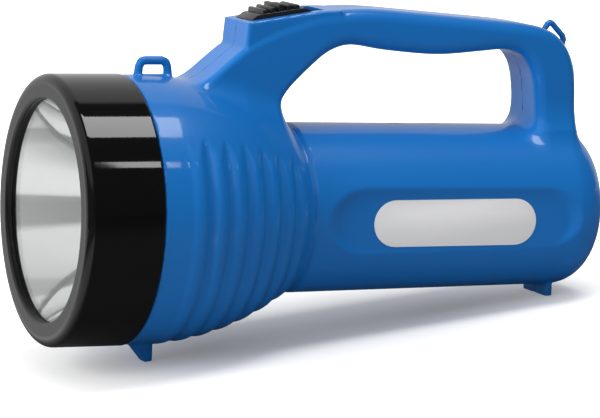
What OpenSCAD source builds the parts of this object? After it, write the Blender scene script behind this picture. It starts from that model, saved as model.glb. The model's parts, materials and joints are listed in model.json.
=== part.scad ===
// Handheld searchlight: two moulded half shells, a bezel that turns, a thumb switch that slides,
// and the lamp, battery and charging parts inside. Every piece is drawn in the beam frame, with X
// along the beam and the origin on the beam axis at the front of the bezel. A place called d is a
// distance behind that front. standing() then sets the light on its two feet.

/* [Bezel and lens] */
// Outer diameter of the bezel ring
bezel_d = 110; // [104:1:116]
// Length of the bezel along the beam
bezel_len = 32; // [30:0.5:36]
// Wall of the bezel round the collar
bezel_wall = 3.4; // [3:0.1:4]
// Rounding of the bezel's outer front edge
bezel_round = 4; // [2:0.5:6]
// Width of the rim between the lens opening and the outside
rim_w = 10; // [9:0.1:12]
// Depth of the lens behind the front face
lip_t = 2.6; // [2:0.1:4]
// Thickness of the lens
lens_t = 2.4; // [1.6:0.1:4]
// How far the lip covers the lens
lens_overlap = 3.4; // [2.6:0.1:4]
// Thickness of the lens gasket
seal_t = 1; // [0.6:0.1:2]
// Width of the lens gasket
seal_w = 2.8; // [1.6:0.1:3.4]
// Number of bayonet lugs
lug_count = 4; // [3:1:5]
// Angle that the bezel turns to come free
turn_angle = 30; // [26:1:36]

/* [Reflector and lamp] */
// Depth of the reflector bowl
reflector_depth = 58.9; // [54:0.1:60]
// Wall of the reflector
reflector_wall = 1.6; // [1.2:0.1:2.4]
// Radius of the neck hole for the emitter
neck_hole_r = 9; // [7:0.5:11]
// Thickness of the lamp board
led_board_t = 1.6; // [1:0.1:2]
// Side of the emitter's base
emitter_w = 8; // [6:0.5:9]
// Radius of the heat sink
sink_r = 21; // [20:0.5:24]
// Height of the heat sink's fins
fin_h = 7; // [4:0.5:10]

/* [Head and barrel] */
// Overall length of the body from the front of the bezel
body_len = 240.5; // [234:0.5:250]
// Straight length of the head behind the bezel
head_len = 8; // [6:0.5:12]
// Length of the curved bell behind the head
bell_len = 63.8; // [62:0.2:68]
// Radius of the neck between bell and barrel
neck_r = 33.8; // [33:0.1:34.6]
// Radius of the barrel at its front
barrel_front_r = 35; // [34.6:0.1:37]
// Radius of the barrel at its rear
barrel_rear_r = 33.8; // [33.2:0.1:36]
// Rounding of the barrel's rear edge
rear_round = 12; // [9:0.5:13]
// Wall of the half shells
shell_wall = 2.4; // [2:0.1:2.8]
// Number of grip ribs round the bell
rib_count = 7; // [3:1:7]
// Distance between grip ribs along the bell
rib_pitch = 9; // [7:0.1:9.2]
// Height of a grip rib
rib_h = 0.9; // [0.4:0.1:1.2]
// Angle above the horizontal at which the ribs end
rib_end_angle = 37; // [20:1:45]

/* [Handle] */
// Height of the grip's top above the beam axis
grip_z = 82.7; // [79:0.5:90]
// Width of the grip
grip_w = 29; // [28.4:0.2:32]
// Thickness of the grip under the palm
grip_thick = 15; // [13:0.5:18]
// Rounding of the grip's edges
grip_round = 4.5; // [2:0.5:5]
// Distance of the front leg's foot behind the front
leg_front_d = 63; // [61:0.5:66]
// Distance of the rear leg ahead of the body's end
rear_inset = 9.5; // [8.5:0.5:12]
// Thickness of the rear leg
rear_leg_t = 18.5; // [16:0.5:22]

/* [Switch] */
// Slope of the switch housing's top
switch_slope = 8.7; // [6:0.1:11]
// Width of the switch housing
housing_w = 27.6; // [26:0.2:28.4]
// Length of the thumb knob
knob_len = 27; // [24:0.5:28]
// Width of the thumb knob
knob_w = 16.6; // [14:0.2:17]
// Travel of the thumb knob
knob_travel = 4.5; // [3:0.5:5]
// Height of the knob's middle rib above the housing
knob_h = 4.7; // [3.4:0.1:5.4]
// Distance between knob ribs
knob_pitch = 3.55; // [3:0.05:4]
// Height of the slide switch below its frame
switch_h = 6.5; // [5:0.5:8]

/* [Feet, eyes and panel] */
// Distance of the front foot behind the front
front_foot_d = 47; // [44:0.5:50]
// Height of the front foot below the head
front_foot_h = 7.6; // [6:0.2:10]
// Width of the front foot
front_foot_w = 6; // [4:0.5:10]
// Height of the rear foot below the barrel
rear_foot_h = 4.1; // [3:0.1:6]
// Width of the rear foot
rear_foot_w = 22; // [16:0.5:26]
// Thickness of the rear foot
rear_foot_t = 2.4; // [1.6:0.1:4]
// Distance of the rear foot ahead of the body's end
rear_foot_back = 16.7; // [14:0.1:22]
// Thickness of the strap eyes
eye_t = 3.2; // [2.4:0.1:4]
// Height of the front strap eye
front_eye_h = 7.5; // [6.5:0.1:10]
// Length of the front strap eye along the beam
front_eye_len = 16; // [14:0.5:20]
// Reach of the rear strap eye past the handle's corner
rear_eye_h = 7; // [6:0.1:9]
// Length of the flat side panel
panel_len = 112; // [100:1:116]
// Height of the flat side panel
panel_h = 32; // [26:1:34]
// Drop of the panel's middle below the beam axis
panel_drop = 3; // [0:0.5:4]
// Depth of the panel below the barrel's side
panel_depth = 3.4; // [2:0.1:4]
// Length of the label plate
label_len = 73.5; // [50:0.5:80]
// Height of the label plate
label_h = 19.3; // [14:0.1:22]
// Thickness of the label plate
label_t = 0.8; // [0.4:0.1:1.2]

/* [Battery and charging] */
// Length of the battery block
battery_len = 76; // [66:1:78]
// Width of the battery block
battery_w = 36; // [30:1:38]
// Height of the battery block
battery_h = 44; // [36:1:44]
// Thickness of the foam pads at the battery's ends
pad_t = 3; // [2:0.5:4]
// Width of the charger board
board_w = 40; // [36:1:42]
// Height of the charger board
board_h = 42; // [38:1:44]
// Thickness of the charger board
board_t = 1.6; // [1:0.1:2]
// Radius of the charging socket's nose
socket_r = 4; // [3.6:0.1:4.5]
// Radius of the charging socket's bore
socket_bore_r = 2.8; // [2.4:0.1:3]
// Depth of the charging socket's bore
socket_depth = 9.5; // [8:0.5:10]

/* [Fasteners and leads] */
// Radius of the body screws' shanks
screw_r = 1.5; // [1.2:0.1:1.8]
// Radius of the body screws' heads
screw_head_r = 2.9; // [2.5:0.1:3]
// Length of the body screws under the head
screw_len = 14; // [12:0.5:15]
// Radius of the inner leads
wire_r = 0.8; // [0.6:0.1:1]

/* [Hidden] */
$fn = 96;

// Clearances
turn_gap = 0.3;
slide_gap = 0.3;
seat_gap = 0.1;
screw_gap = 0.05;

// Bezel, lens and collar
bezel_r = bezel_d / 2;
opening_r = bezel_r - rim_w;
lens_r = opening_r + lens_overlap;
bore_r = bezel_r - bezel_wall;
collar_r = bore_r - turn_gap;
lens_back_d = lip_t + lens_t;
seal_back_d = lens_back_d + seal_t;
flange_front_d = seal_back_d + seat_gap;
flange_back_d = flange_front_d + reflector_wall;
collar_front_d = flange_back_d + seat_gap;
lip_round = 1.2;
rear_chamfer = 0.5;
lug_h = 1.6;
lug_len = 4;
lug_angle = 22;
groove_depth = lug_h + turn_gap;
entry_depth = groove_depth + seat_gap;
groove_front_d = bezel_len - 10;
groove_len = lug_len + 2;
collar_in_r = collar_r - groove_depth - 1.8;

// Head, bell and barrel
head_r = bezel_r - 0.4;
shoulder_d = bezel_len + turn_gap;
bell_start_d = bezel_len + head_len;
bell_end_d = bell_start_d + bell_len;
bell_drop = head_r - neck_r;
bell_r = (bell_len * bell_len + bell_drop * bell_drop) / (2 * bell_drop);
bell_run = bell_r * asin(bell_len / bell_r) * PI / 180;
bell_steps = 12;
neck_len = 4;
barrel_start_d = bell_end_d + neck_len;
rear_start_d = body_len - rear_round;
rib_first = bell_run / 2 - rib_pitch * (rib_count - 1) / 2;
rib_sink = 0.05;
rib_steps = 4;
rib_sector = 2 * (90 + rib_end_angle);
bell_wall = shell_wall + rib_h + rib_sink;
half_size = 400;

// Standing pose: the floor runs under both feet
front_foot_z = -(head_r + front_foot_h);
rear_foot_z = -(barrel_rear_r + rear_foot_h);
rear_foot_d = body_len - rear_foot_back;
rest_tilt = atan((rear_foot_z - front_foot_z) / (rear_foot_d - front_foot_d));
stand_height = -floor_z(0) * cos(rest_tilt);
front_reach = bezel_round * (1 - cos(rest_tilt)) + (bezel_r - bezel_round) * sin(rest_tilt);
rear_reach = rear_start_d * cos(rest_tilt) + (barrel_rear_r - rear_round) * sin(rest_tilt) + rear_round;
stand_shift = (rear_reach - front_reach) / 2;

// Handle
leg_rear_d = body_len - rear_inset;
handle_span = leg_rear_d - leg_front_d;
grip_mid_d = leg_front_d + handle_span / 2;
housing_front_d = leg_front_d + 16.2;
housing_back_d = leg_front_d + 57;
switch_d = leg_front_d + 34.5;
switch_z = grip_z - 3;
housing_round = 4;
slot_room = 8;
leg_room = 22;

// Switch stack, heights measured down from the housing's top
housing_wall = 2.2;
flange_top = -housing_wall - slide_gap;
flange_t = 1.5;
flange_low = flange_top - flange_t;
flange_side = 1.2;
lever_top = flange_low + 0.2;
lever_depth = 1.5;
frame_top = -6.2;
frame_t = 0.8;
frame_len = 30;
frame_w = 18;
frame_screw_x = frame_len / 2 - 3;
frame_screw_y = frame_w / 2 - 1.2;
switch_top = frame_top - frame_t;
switch_len = 20;
switch_w = 8;
lever_w = 4;
lever_slot = lever_w + knob_travel + 2 * slide_gap;
shelf_depth = 5.5;
shelf_gap = 12.6;
small_screw_r = 0.9;
small_screw_len = 4;
switch_in_w = housing_w - 2 * 1.8;
slot_front = knob_len / 2 + 2 * slide_gap;
slot_back = -knob_len / 2 - knob_travel - 2 * slide_gap;
flange_reach = knob_len / 2 + 0.5;
switch_in_front = flange_reach + 2 * slide_gap;
switch_in_back = -flange_reach - knob_travel - 2 * slide_gap;
frame_mid = (switch_in_front + switch_in_back) / 2;

// Reflector and lamp
focal_len = opening_r * opening_r / (4 * reflector_depth);
vertex_d = flange_front_d + reflector_depth;
neck_d = vertex_d - neck_hole_r * neck_hole_r / (4 * focal_len);
flange_r = collar_r - 0.5;
bowl_steps = 16;
led_board_r = neck_hole_r + 3;
emitter_base_t = 1.5;
emitter_dome_r = emitter_w * 0.36;
sink_front_d = neck_d + led_board_t;
sink_t = 3;
fin_t = 1.6;
fin_pitch = 8;
sink_post_at = 16.5;
sink_post_r = 2.6;
sink_screw_r = 1.25;
wire_hole_at = 6.5;

// Battery, board and socket, from the barrel's rear end forward
rear_wall_d = body_len - shell_wall;
board_d = body_len - 18.5;
battery_mid_d = (barrel_start_d + board_d) / 2 - 3;
battery_front_d = battery_mid_d - battery_len / 2;
battery_back_d = battery_mid_d + battery_len / 2;
cradle_t = 2.4;
cradle_at = battery_len * 0.32;
stop_gap = 16;
guide_h = 32;
past_wall = 46;
tab_w = 5;
tab_t = 0.8;
tab_h = 6;
tab_y = 9;
tab_d = battery_front_d + 6;
socket_z = -7;
socket_body_w = 10;
indicator_z = 9;
indicator_r = 1.5;
pin_r = 1;
capacitor_r = 4.5;
capacitor_h = 11;
capacitor_y = -11;
capacitor_z = 10;
coil_r = 3;
coil_h = 7.7;
coil_y = 10;
coil_z = 13;
chip_w = 5;
chip_t = 2.2;
chip_gap = 1;
chip_y = 8;
diode_y = 12;
regulator_w = 6;
regulator_t = 3.3;
regulator_y = -13;

// Panel and labels
panel_mid_d = (barrel_start_d + body_len) / 2 - 6.5;
panel_y = barrel_rear_r + 0.6 - panel_depth;
panel_back_y = panel_y - label_t - 1.8;

// Body screws: distance behind the front and height, put in from the right side
screw_spots = [[bell_end_d - 18, -(neck_r - 0.8)],
               [battery_front_d + 8, -(battery_h / 2 + 5.5)],
               [battery_back_d - 4, -(battery_h / 2 + 5.5)],
               [leg_front_d + 16, grip_z - 30],
               [grip_mid_d + 20, grip_z - 1.9 - grip_thick / 2],
               [leg_rear_d - rear_leg_t / 2, grip_z - 31]];
screw_seat = 5;
screw_head_h = 2.2;
boss_wall = 1.8;

// Routes of the inner leads, in the beam frame: they climb inside the front leg and run over the battery
terminal_h = 3;
terminal_x = 4;
terminal_y = 2;
terminal_low = switch_top - switch_h - terminal_h;
lead_gap = 0.3;
lead_low = terminal_low - wire_r - seat_gap;
lead_start_d = sink_front_d + seat_gap;
climb_d = leg_front_d + 20;
tab_lead_z = battery_h / 2 + 4;
lamp_red_route = [[-lead_start_d, wire_hole_at, 0], [-climb_d + 5, wire_hole_at, 1],
                  [-climb_d, wire_hole_at, 12], [-climb_d - 1, 6, 30], [-climb_d - 3, 5, 45],
                  [-climb_d - 7, 3.5, 56], switch_point([terminal_x, terminal_y, lead_low])];
lamp_black_route = [[-lead_start_d, -wire_hole_at, 0], [-climb_d + 4, -wire_hole_at, 1],
                    [-climb_d - 9, -7, 12], [-climb_d - 23, -8, 23], [-climb_d - 33, -tab_y, 25.5],
                    [-tab_d + lead_gap, -tab_y, tab_lead_z]];
battery_red_route = [[-tab_d + lead_gap, tab_y, tab_lead_z], [-climb_d - 33, 8.5, 26],
                     [-climb_d - 23, 7.5, 26], [-climb_d - 12, 6, 33], [-climb_d - 7, 3, 45],
                     [-climb_d - 11, 0, 56], switch_point([-terminal_x, -terminal_y, lead_low])];
board_lead_z = 15;
over_z = battery_h / 2 + 5.2;
lead_turn_d = battery_back_d + 4;
lead_fall = board_d - lead_turn_d;
charge_red_route = [[-tab_d - tab_t - lead_gap, tab_y, tab_lead_z], [-tab_d - 7, tab_y, over_z - 0.2],
                    [-battery_mid_d, tab_y, over_z], [-battery_back_d + 16, tab_y, over_z],
                    [-lead_turn_d, tab_y, over_z - 1.2],
                    [-lead_turn_d - lead_fall * 0.46, tab_y, board_lead_z + 4],
                    [-lead_turn_d - lead_fall * 0.76, tab_y, board_lead_z],
                    [-board_d + lead_gap, tab_y, board_lead_z]];
charge_black_route = [for (p = charge_red_route) [p.x, -p.y, p.z]];

// Height of the floor under the beam axis at x
function floor_z(x) = front_foot_z - (x + front_foot_d) * tan(rest_tilt);

// Points on an arc round a centre, from one angle to another
function arc(c, r, from, to, steps = 6) =
    [for (i = [0:steps]) let (a = from + (to - from) * i / steps) [c.x + r * cos(a), c.y + r * sin(a)]];

// A smooth curve through the rows of a list, with some steps between neighbours
function smooth(rows, steps) =
    let (last = len(rows) - 1)
    [for (i = [0:last - 1]) for (k = [0:steps - (i == last - 1 ? 0 : 1)])
        let (t = k / steps, a = rows[max(i - 1, 0)], b = rows[i], c = rows[i + 1], e = rows[min(i + 2, last)])
        0.5 * (2 * b + (c - a) * t + (2 * a - 5 * b + 4 * c - e) * t * t
               + (3 * b - a - 3 * c + e) * t * t * t)];

// Outline of a rectangle with rounded corners, centred
function round_rect(w, h, r, steps = 1) =
    concat(arc([w / 2 - r, h / 2 - r], r, 0, 90, steps), arc([r - w / 2, h / 2 - r], r, 90, 180, steps),
           arc([r - w / 2, r - h / 2], r, 180, 270, steps), arc([w / 2 - r, r - h / 2], r, 270, 360, steps));

// Place on the bell at a distance along its curve, sunk by some depth
function bell_point(run, sink = 0) =
    let (a = run / bell_r * 180 / PI)
    [head_r - bell_r * (1 - cos(a)) - sink, -(bell_start_d + bell_r * sin(a))];

// Half outline of the body's outside, as radius and place along the beam
function body_outline() = concat(
    [[0, -collar_front_d], [collar_r, -collar_front_d],
     [collar_r, -groove_front_d], [collar_r - groove_depth, -groove_front_d],
     [collar_r - groove_depth, -groove_front_d - groove_len], [collar_r, -groove_front_d - groove_len],
     [collar_r, -shoulder_d], [head_r, -shoulder_d]],
    [for (i = [0:bell_steps]) bell_point(bell_run * i / bell_steps)],
    [[barrel_front_r - 0.6, -barrel_start_d + 1.5], [barrel_front_r, -barrel_start_d - 1]],
    [for (p = arc([-rear_start_d, barrel_rear_r - rear_round], rear_round, 90, 180)) [p.y, p.x]],
    [[0, -body_len]]);

// Half outline of what is cut away between the grip ribs: a row of round-topped ribs seen from outside
function rib_outline() =
    let (points = [for (i = [0:rib_steps * rib_count]) let (turn = i / rib_steps - 0.5)
        bell_point(rib_first + turn * rib_pitch, rib_sink + rib_h * (1 - abs(cos(180 * turn))))],
        last = len(points) - 1)
    concat([[bezel_r + 1, points[0].y]], points, [[bezel_r + 1, points[last].y]]);

// Half outline of the space inside the body
function cavity_outline() = concat(
    [[0, -collar_front_d + 1], [collar_in_r, -collar_front_d + 1], [collar_in_r, -shoulder_d],
     [head_r - bell_wall, -shoulder_d - 4]],
    [for (i = [0:bell_steps / 2]) bell_point(2 * bell_run * i / bell_steps, bell_wall)],
    [[barrel_front_r - shell_wall, -barrel_start_d]],
    [for (p = arc([-rear_start_d, barrel_rear_r - rear_round], rear_round - shell_wall, 90, 180)) [p.y, p.x]],
    [[0, -rear_wall_d]]);

// Height between the barrel and the grip's top, 0 on the barrel and 1 on the grip
function rise(h) = barrel_front_r + h * (grip_z - barrel_front_r);

// Cross-sections of the handle from front foot to rear foot: the top point, the bottom point and the
// width added at the feet
handle_rows = [
    [-leg_front_d + 8, rise(0.16), -leg_front_d - 38, rise(-0.04), 15],
    [-leg_front_d, rise(0.38), -leg_front_d - 33.5, rise(0.14), 9],
    [-leg_front_d - 8.5, rise(0.53), -leg_front_d - 34.6, rise(0.25), 4.4],
    [-leg_front_d - 17, rise(0.665), -leg_front_d - 38.5, rise(0.35), 1.4],
    [-leg_front_d - 30, rise(0.815), -leg_front_d - 45.5, rise(0.485), 0],
    [-leg_front_d - 43, rise(0.925), -leg_front_d - 53, rise(0.61), 0],
    [-leg_front_d - 57, grip_z - 0.5, -leg_front_d - 60.5, grip_z - 0.2 - grip_thick, 0],
    [-leg_front_d - 70, grip_z, -leg_front_d - 70, grip_z - grip_thick, 0],
    [-grip_mid_d - 3, grip_z - 0.6, -grip_mid_d - 3, grip_z - 2.7 - grip_thick, 0],
    [-grip_mid_d - 20, grip_z - 1.9, -grip_mid_d - 20, grip_z - 3.5 - grip_thick, 0],
    [-leg_rear_d + 47, grip_z - 3.2, -leg_rear_d + 47, grip_z - 2.3 - grip_thick, 0],
    [-leg_rear_d + 31, grip_z - 4.7, -leg_rear_d + rear_leg_t + 15, grip_z - 1.1 - grip_thick, 0],
    [-leg_rear_d + 17.5, grip_z - 6.9, -leg_rear_d + rear_leg_t + 8.5, grip_z - 2.3 - grip_thick, 0],
    [-leg_rear_d + 7, grip_z - 11.9, -leg_rear_d + rear_leg_t + 3.7, grip_z - 6.7 - grip_thick, 0],
    [-leg_rear_d + 2, rise(0.575), -leg_rear_d + rear_leg_t + 0.9, rise(0.42), 0],
    [-leg_rear_d + 0.4, rise(0.36), -leg_rear_d + rear_leg_t, rise(0.26), 0],
    [-leg_rear_d, rise(0.08), -leg_rear_d + rear_leg_t + 1, rise(0.07), 1],
    [-leg_rear_d - 1, rise(-0.09), -leg_rear_d + rear_leg_t + 4, rise(-0.04), 3],
    [-leg_rear_d - 1, rise(-0.25), -leg_rear_d + rear_leg_t + 5, rise(-0.25), 4]];

// Loops round the handle, drawn in by a wall where inset is more than zero
function handle_rings(inset) = [for (row = handle_rows)
    let (top = [row[0], row[1]], low = [row[2], row[3]], mid = (top + low) / 2, run = norm(top - low),
         up = (top - low) / run)
    [for (p = round_rect(grip_w + row[4] - 2 * inset, run - 2 * inset, max(grip_round - inset, 0.6)))
        [mid.x + up.x * p.y, p.x, mid.y + up.y * p.y]]];

// Loops round a lead along its route
function lead_rings(route, r, sides = 8) =
    let (path = smooth(route, 3), last = len(path) - 1)
    [for (i = [0:last])
        let (run = path[min(i + 1, last)] - path[max(i - 1, 0)], ahead = run / norm(run),
             side = cross(ahead, [0, 1, 0]), across = side / norm(side), up = cross(across, ahead))
        [for (k = [0:sides - 1]) path[i] + r * (cos(360 * k / sides) * across + sin(360 * k / sides) * up)]];

// A point given in the switch's own frame, moved to the beam frame
function switch_point(p) = [-switch_d + p.x * cos(switch_slope) + p.z * sin(switch_slope), p.y,
                            switch_z - p.x * sin(switch_slope) + p.z * cos(switch_slope)];

// Sets a piece from the beam frame on its feet
module standing() {
    translate([stand_shift, 0, stand_height]) rotate([0, -rest_tilt, 0]) children();
}

// Turns a half outline of radius and place along the beam round the beam axis
module turned(points, from = 0, sweep = 360) {
    rotate([0, 90, 0]) rotate([0, 0, from]) rotate_extrude(angle = sweep) polygon(points);
}

// A cylinder along the beam between two distances behind the front
module disc(r, from_d, to_d) {
    translate([-to_d, 0, 0]) rotate([0, 90, 0]) cylinder(r = r, h = to_d - from_d);
}

// A flat ring along the beam
module ring(outer_r, inner_r, from_d, to_d) {
    turned([[inner_r, -from_d], [outer_r, -from_d], [outer_r, -to_d], [inner_r, -to_d]]);
}

// A box between two distances behind the front, centred across, at a height
module block(from_d, to_d, w, z_low, z_high, y = 0) {
    translate([-to_d, y - w / 2, z_low]) cube([to_d - from_d, w, z_high - z_low]);
}

// A skin over a row of loops, closed at both ends
module loft(rings) {
    n = len(rings[0]);
    last = len(rings) - 1;
    skin = [for (i = [0:last - 1]) for (k = [0:n - 1]) let (a = i * n + k, b = i * n + (k + 1) % n)
        each [[a, b, a + n], [b, b + n, a + n]]];
    front_cap = [for (k = [1:n - 2]) [0, k + 1, k]];
    back_cap = [for (k = [1:n - 2]) [last * n, last * n + k, last * n + k + 1]];
    polyhedron([for (loop = rings) each loop], concat(skin, front_cap, back_cap));
}

// A flat shape drawn along the beam and upwards, given a thickness across
module upright(thick, y = 0) {
    translate([0, y + thick / 2, 0]) rotate([90, 0, 0]) linear_extrude(thick) children();
}

// A slot shape with round ends
module stadium(length, height) {
    square([length - height, height], center = true);
    for (side = [-1, 1]) translate([side * (length - height) / 2, 0]) circle(d = height);
}

// Draws in the switch's own frame, with its origin on the housing's top
module at_switch() {
    translate([-switch_d, 0, switch_z]) rotate([0, switch_slope, 0]) children();
}

// A box in the switch's own frame
module switch_block(back, front, w, low, high, y = 0) {
    translate([back, y - w / 2, low]) cube([front - back, w, high - low]);
}

// A sector of the collar's groove or of the bezel's lugs
module lug_sector(inner_r, outer_r, from_d, to_d, angle, sweep) {
    turned([[inner_r, -from_d], [outer_r, -from_d], [outer_r, -to_d], [inner_r, -to_d]],
           angle - sweep / 2, sweep);
}

// Switch housing on the handle: a plan with rounded front corners under a sloping top
module switch_housing() {
    intersection() {
        upright(housing_w)
            polygon([[-housing_front_d, grip_z - leg_room], [-housing_front_d - 1.6, grip_z - 5.7],
                     [-housing_back_d, switch_z + (housing_back_d - switch_d) * tan(switch_slope)],
                     [-housing_back_d, grip_z - slot_room], [-switch_d - 2.5, grip_z - leg_room]]);
        translate([-housing_back_d, 0, grip_z - 30])
            linear_extrude(60)
                polygon(concat([[0, -housing_w / 2]],
                    arc([housing_back_d - housing_front_d - housing_round, housing_round - housing_w / 2],
                        housing_round, -90, 0),
                    arc([housing_back_d - housing_front_d - housing_round, housing_w / 2 - housing_round],
                        housing_round, 0, 90),
                    [[0, housing_w / 2]]));
    }
}

// Strap eye on the head, a closed loop of even thickness
module front_eye() {
    mid = -front_foot_d + 1.7;
    top = head_r + front_eye_h;
    shoulder = front_eye_len / 2 - eye_t;
    upright(eye_t) difference() {
        hull() {
            for (side = [-1, 1]) translate([mid + side * (shoulder - 1), top - eye_t])
                circle(eye_t, $fn = 32);
            translate([mid - front_eye_len / 2, head_r - 4]) square([front_eye_len, 1]);
        }
        hull() {
            for (side = [-1, 1]) translate([mid + side * (shoulder - 2), top - eye_t - 1])
                circle(1, $fn = 32);
            translate([mid - front_eye_len / 2 + eye_t, head_r - 1]) square([front_eye_len - 2 * eye_t, 0.5]);
        }
    }
}

// Strap eye on the handle's rear corner, a small slanted loop
module rear_eye() {
    upright(eye_t) translate([-leg_rear_d + 5, grip_z - 11]) rotate(40) difference() {
        hull() for (side = [-1, 1]) {
            translate([side * 2.6, rear_eye_h - eye_t / 2]) circle(eye_t / 2, $fn = 32);
            translate([side * 5, -2]) circle(eye_t / 2, $fn = 32);
        }
        hull() for (side = [-1, 1]) {
            translate([side * 1.5, rear_eye_h - eye_t - 0.6]) circle(0.6, $fn = 32);
            translate([side * 2.4, rear_eye_h - eye_t - 1.8]) circle(0.6, $fn = 32);
        }
    }
}

// Front foot: a fin under the head with a slanted front and a flat end on the floor
module front_foot() {
    tip = -front_foot_d + 1.5;
    heel = -front_foot_d - 1.5;
    upright(front_foot_w) polygon([[tip + 7.5, -head_r + 1], [tip, floor_z(tip)], [heel, floor_z(heel)],
                                   [heel, -head_r + 1.5]]);
}

// Rear foot: a plate across the barrel with its end on the floor
module rear_foot() {
    front = -rear_foot_d + rear_foot_t / 2;
    back = -rear_foot_d - rear_foot_t / 2;
    upright(rear_foot_w) polygon([[front, -barrel_rear_r + 8], [front, floor_z(front)], [back, floor_z(back)],
                                  [back, -barrel_rear_r + 8]]);
}

// The closed outer form of both half shells
module body_form() {
    difference() {
        turned(body_outline());
        turned(rib_outline(), -rib_sector / 2, rib_sector);
    }
    loft(handle_rings(0));
    switch_housing();
    front_eye();
    rear_eye();
    front_foot();
    rear_foot();
}

// The space inside both half shells
module body_space() {
    turned(cavity_outline());
    loft(handle_rings(shell_wall));
    at_switch() switch_block(switch_in_back, switch_in_front, switch_in_w, -slot_room, -housing_wall);
    at_switch() switch_block(-terminal_x - 2, switch_in_front, switch_in_w, -leg_room, 1 - slot_room);
}

// Stands, ribs and bosses that rise into the space inside the left half shell
module body_stands() {
    for (spot = screw_spots) translate([-spot.x, -1, spot.y]) rotate([-90, 0, 0])
        cylinder(r = screw_head_r + boss_wall, h = past_wall);
    for (along = [-1, 1]) let (mid = battery_mid_d + along * cradle_at) difference() {
        block(mid - cradle_t / 2, mid + cradle_t / 2, 2 * past_wall, -past_wall, battery_h / 2 - 2);
        block(battery_front_d, battery_back_d, battery_w + 2 * seat_gap, -battery_h / 2 - seat_gap,
              past_wall);
    }
    for (stop = [battery_front_d - pad_t - cradle_t, battery_back_d + pad_t]) difference() {
        block(stop, stop + cradle_t, 2 * past_wall, -past_wall, battery_h / 2 - 6);
        block(stop - 1, stop + cradle_t + 1, stop_gap, -stop_gap * 0.75, stop_gap * 0.75);
    }
    difference() {
        block(board_d - 2, board_d + board_t + 2, 2 * past_wall, -guide_h / 2, guide_h / 2);
        block(board_d - 3, board_d + board_t + 3, board_w - 6, -guide_h, guide_h);
        block(board_d - seat_gap, board_d + board_t + seat_gap, board_w + 2 * seat_gap, -guide_h, guide_h);
    }
    at_switch() switch_block(switch_in_back - 2, switch_in_front + 1, 10, switch_top - shelf_depth,
                             switch_top, shelf_gap / 2 + 5);
    translate([0, panel_back_y + 10, 0]) upright(20)
        translate([-panel_mid_d, -panel_drop]) stadium(panel_len + 4, panel_h + 2);
}

// Openings through a half shell, drawn on the left: switch slot, sockets, screw ways, panel and
// bayonet entries. The right shell takes the screws' heads and the left one their threads.
module body_cuts(side) {
    at_switch() switch_block(slot_back, slot_front, knob_w + 2 * slide_gap, -housing_wall - 1, 10);
    at_switch()
        translate([frame_mid + side * frame_screw_x, frame_screw_y, switch_top - small_screw_len - 0.5])
            cylinder(r = small_screw_r + screw_gap, h = small_screw_len + 1);
    translate([-body_len - 1, 0, socket_z]) rotate([0, 90, 0])
        cylinder(r = socket_r + seat_gap, h = 10);
    translate([-body_len - 1, 0, indicator_z]) rotate([0, 90, 0])
        cylinder(r = indicator_r + seat_gap, h = 10);
    for (spot = screw_spots) translate([-spot.x, -1, spot.y]) rotate([-90, 0, 0]) {
        cylinder(r = screw_r + screw_gap, h = 1 + (side > 0 ? screw_len - screw_seat + 0.5 : screw_seat + 1));
        if (side < 0) translate([0, 0, 1 + screw_seat]) cylinder(r = screw_head_r + slide_gap, h = 60);
    }
    translate([0, panel_y + 10, 0]) upright(20)
        translate([-panel_mid_d, -panel_drop]) stadium(panel_len, panel_h);
    translate([0, panel_y - label_t + 10, 0]) upright(20)
        translate([-panel_mid_d, -panel_drop]) stadium(label_len + 2 * seat_gap, label_h + 2 * seat_gap);
    for (i = [0:lug_count - 1])
        lug_sector(collar_r - entry_depth, collar_r + 1, collar_front_d - 1, groove_front_d + 1,
                   360 * (i + 0.5) / lug_count, lug_angle + 3);
}

// The left side of the outer form, cut at the middle
module form_half() {
    difference() {
        body_form();
        translate([-half_size, -half_size, -half_size / 2]) cube([2 * half_size, half_size, half_size]);
    }
}

// The left side of the outer form, hollow, with its inner stands
module hollow_half() {
    difference() {
        form_half();
        difference() {
            body_space();
            body_stands();
        }
    }
}

// A half shell, left where side is 1 and right, mirrored, where it is -1
module body_half(side) {
    mirror([0, side > 0 ? 0 : 1, 0]) difference() {
        hollow_half();
        body_cuts(side);
    }
}

module body_left() {
    color("royalblue") body_half(1);
}

module body_right() {
    color("royalblue") body_half(-1);
}

module body_screws() {
    color("silver") for (spot = screw_spots) translate([-spot.x, 0, spot.y]) rotate([90, 0, 0]) {
        translate([0, 0, screw_seat - screw_len]) cylinder(r = screw_r, h = screw_len);
        translate([0, 0, screw_seat]) cylinder(r = screw_head_r, h = screw_head_h);
    }
}

module bezel() {
    color("black") {
        turned(concat(
            [[opening_r, -lip_t]],
            arc([opening_r + lip_round, -lip_round], lip_round, 180, 90),
            arc([bezel_r - bezel_round, -bezel_round], bezel_round, 90, 0),
            [[bezel_r, -bezel_len + rear_chamfer], [bezel_r - rear_chamfer, -bezel_len], [bore_r, -bezel_len],
             [bore_r, -seal_back_d], [lens_r + seat_gap, -seal_back_d], [lens_r + seat_gap, -lip_t]]));
        for (i = [0:lug_count - 1])
            lug_sector(bore_r - lug_h - turn_gap, bore_r + 1, groove_front_d + turn_gap,
                       groove_front_d + turn_gap + lug_len,
                       360 * (i + 0.5) / lug_count - turn_angle, lug_angle);
    }
}

module lens() {
    color("lightcyan", 0.4) disc(lens_r, lip_t, lens_back_d);
}

module lens_seal() {
    color("dimgray") ring(lens_r, lens_r - seal_w, lens_back_d, seal_back_d);
}

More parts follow.
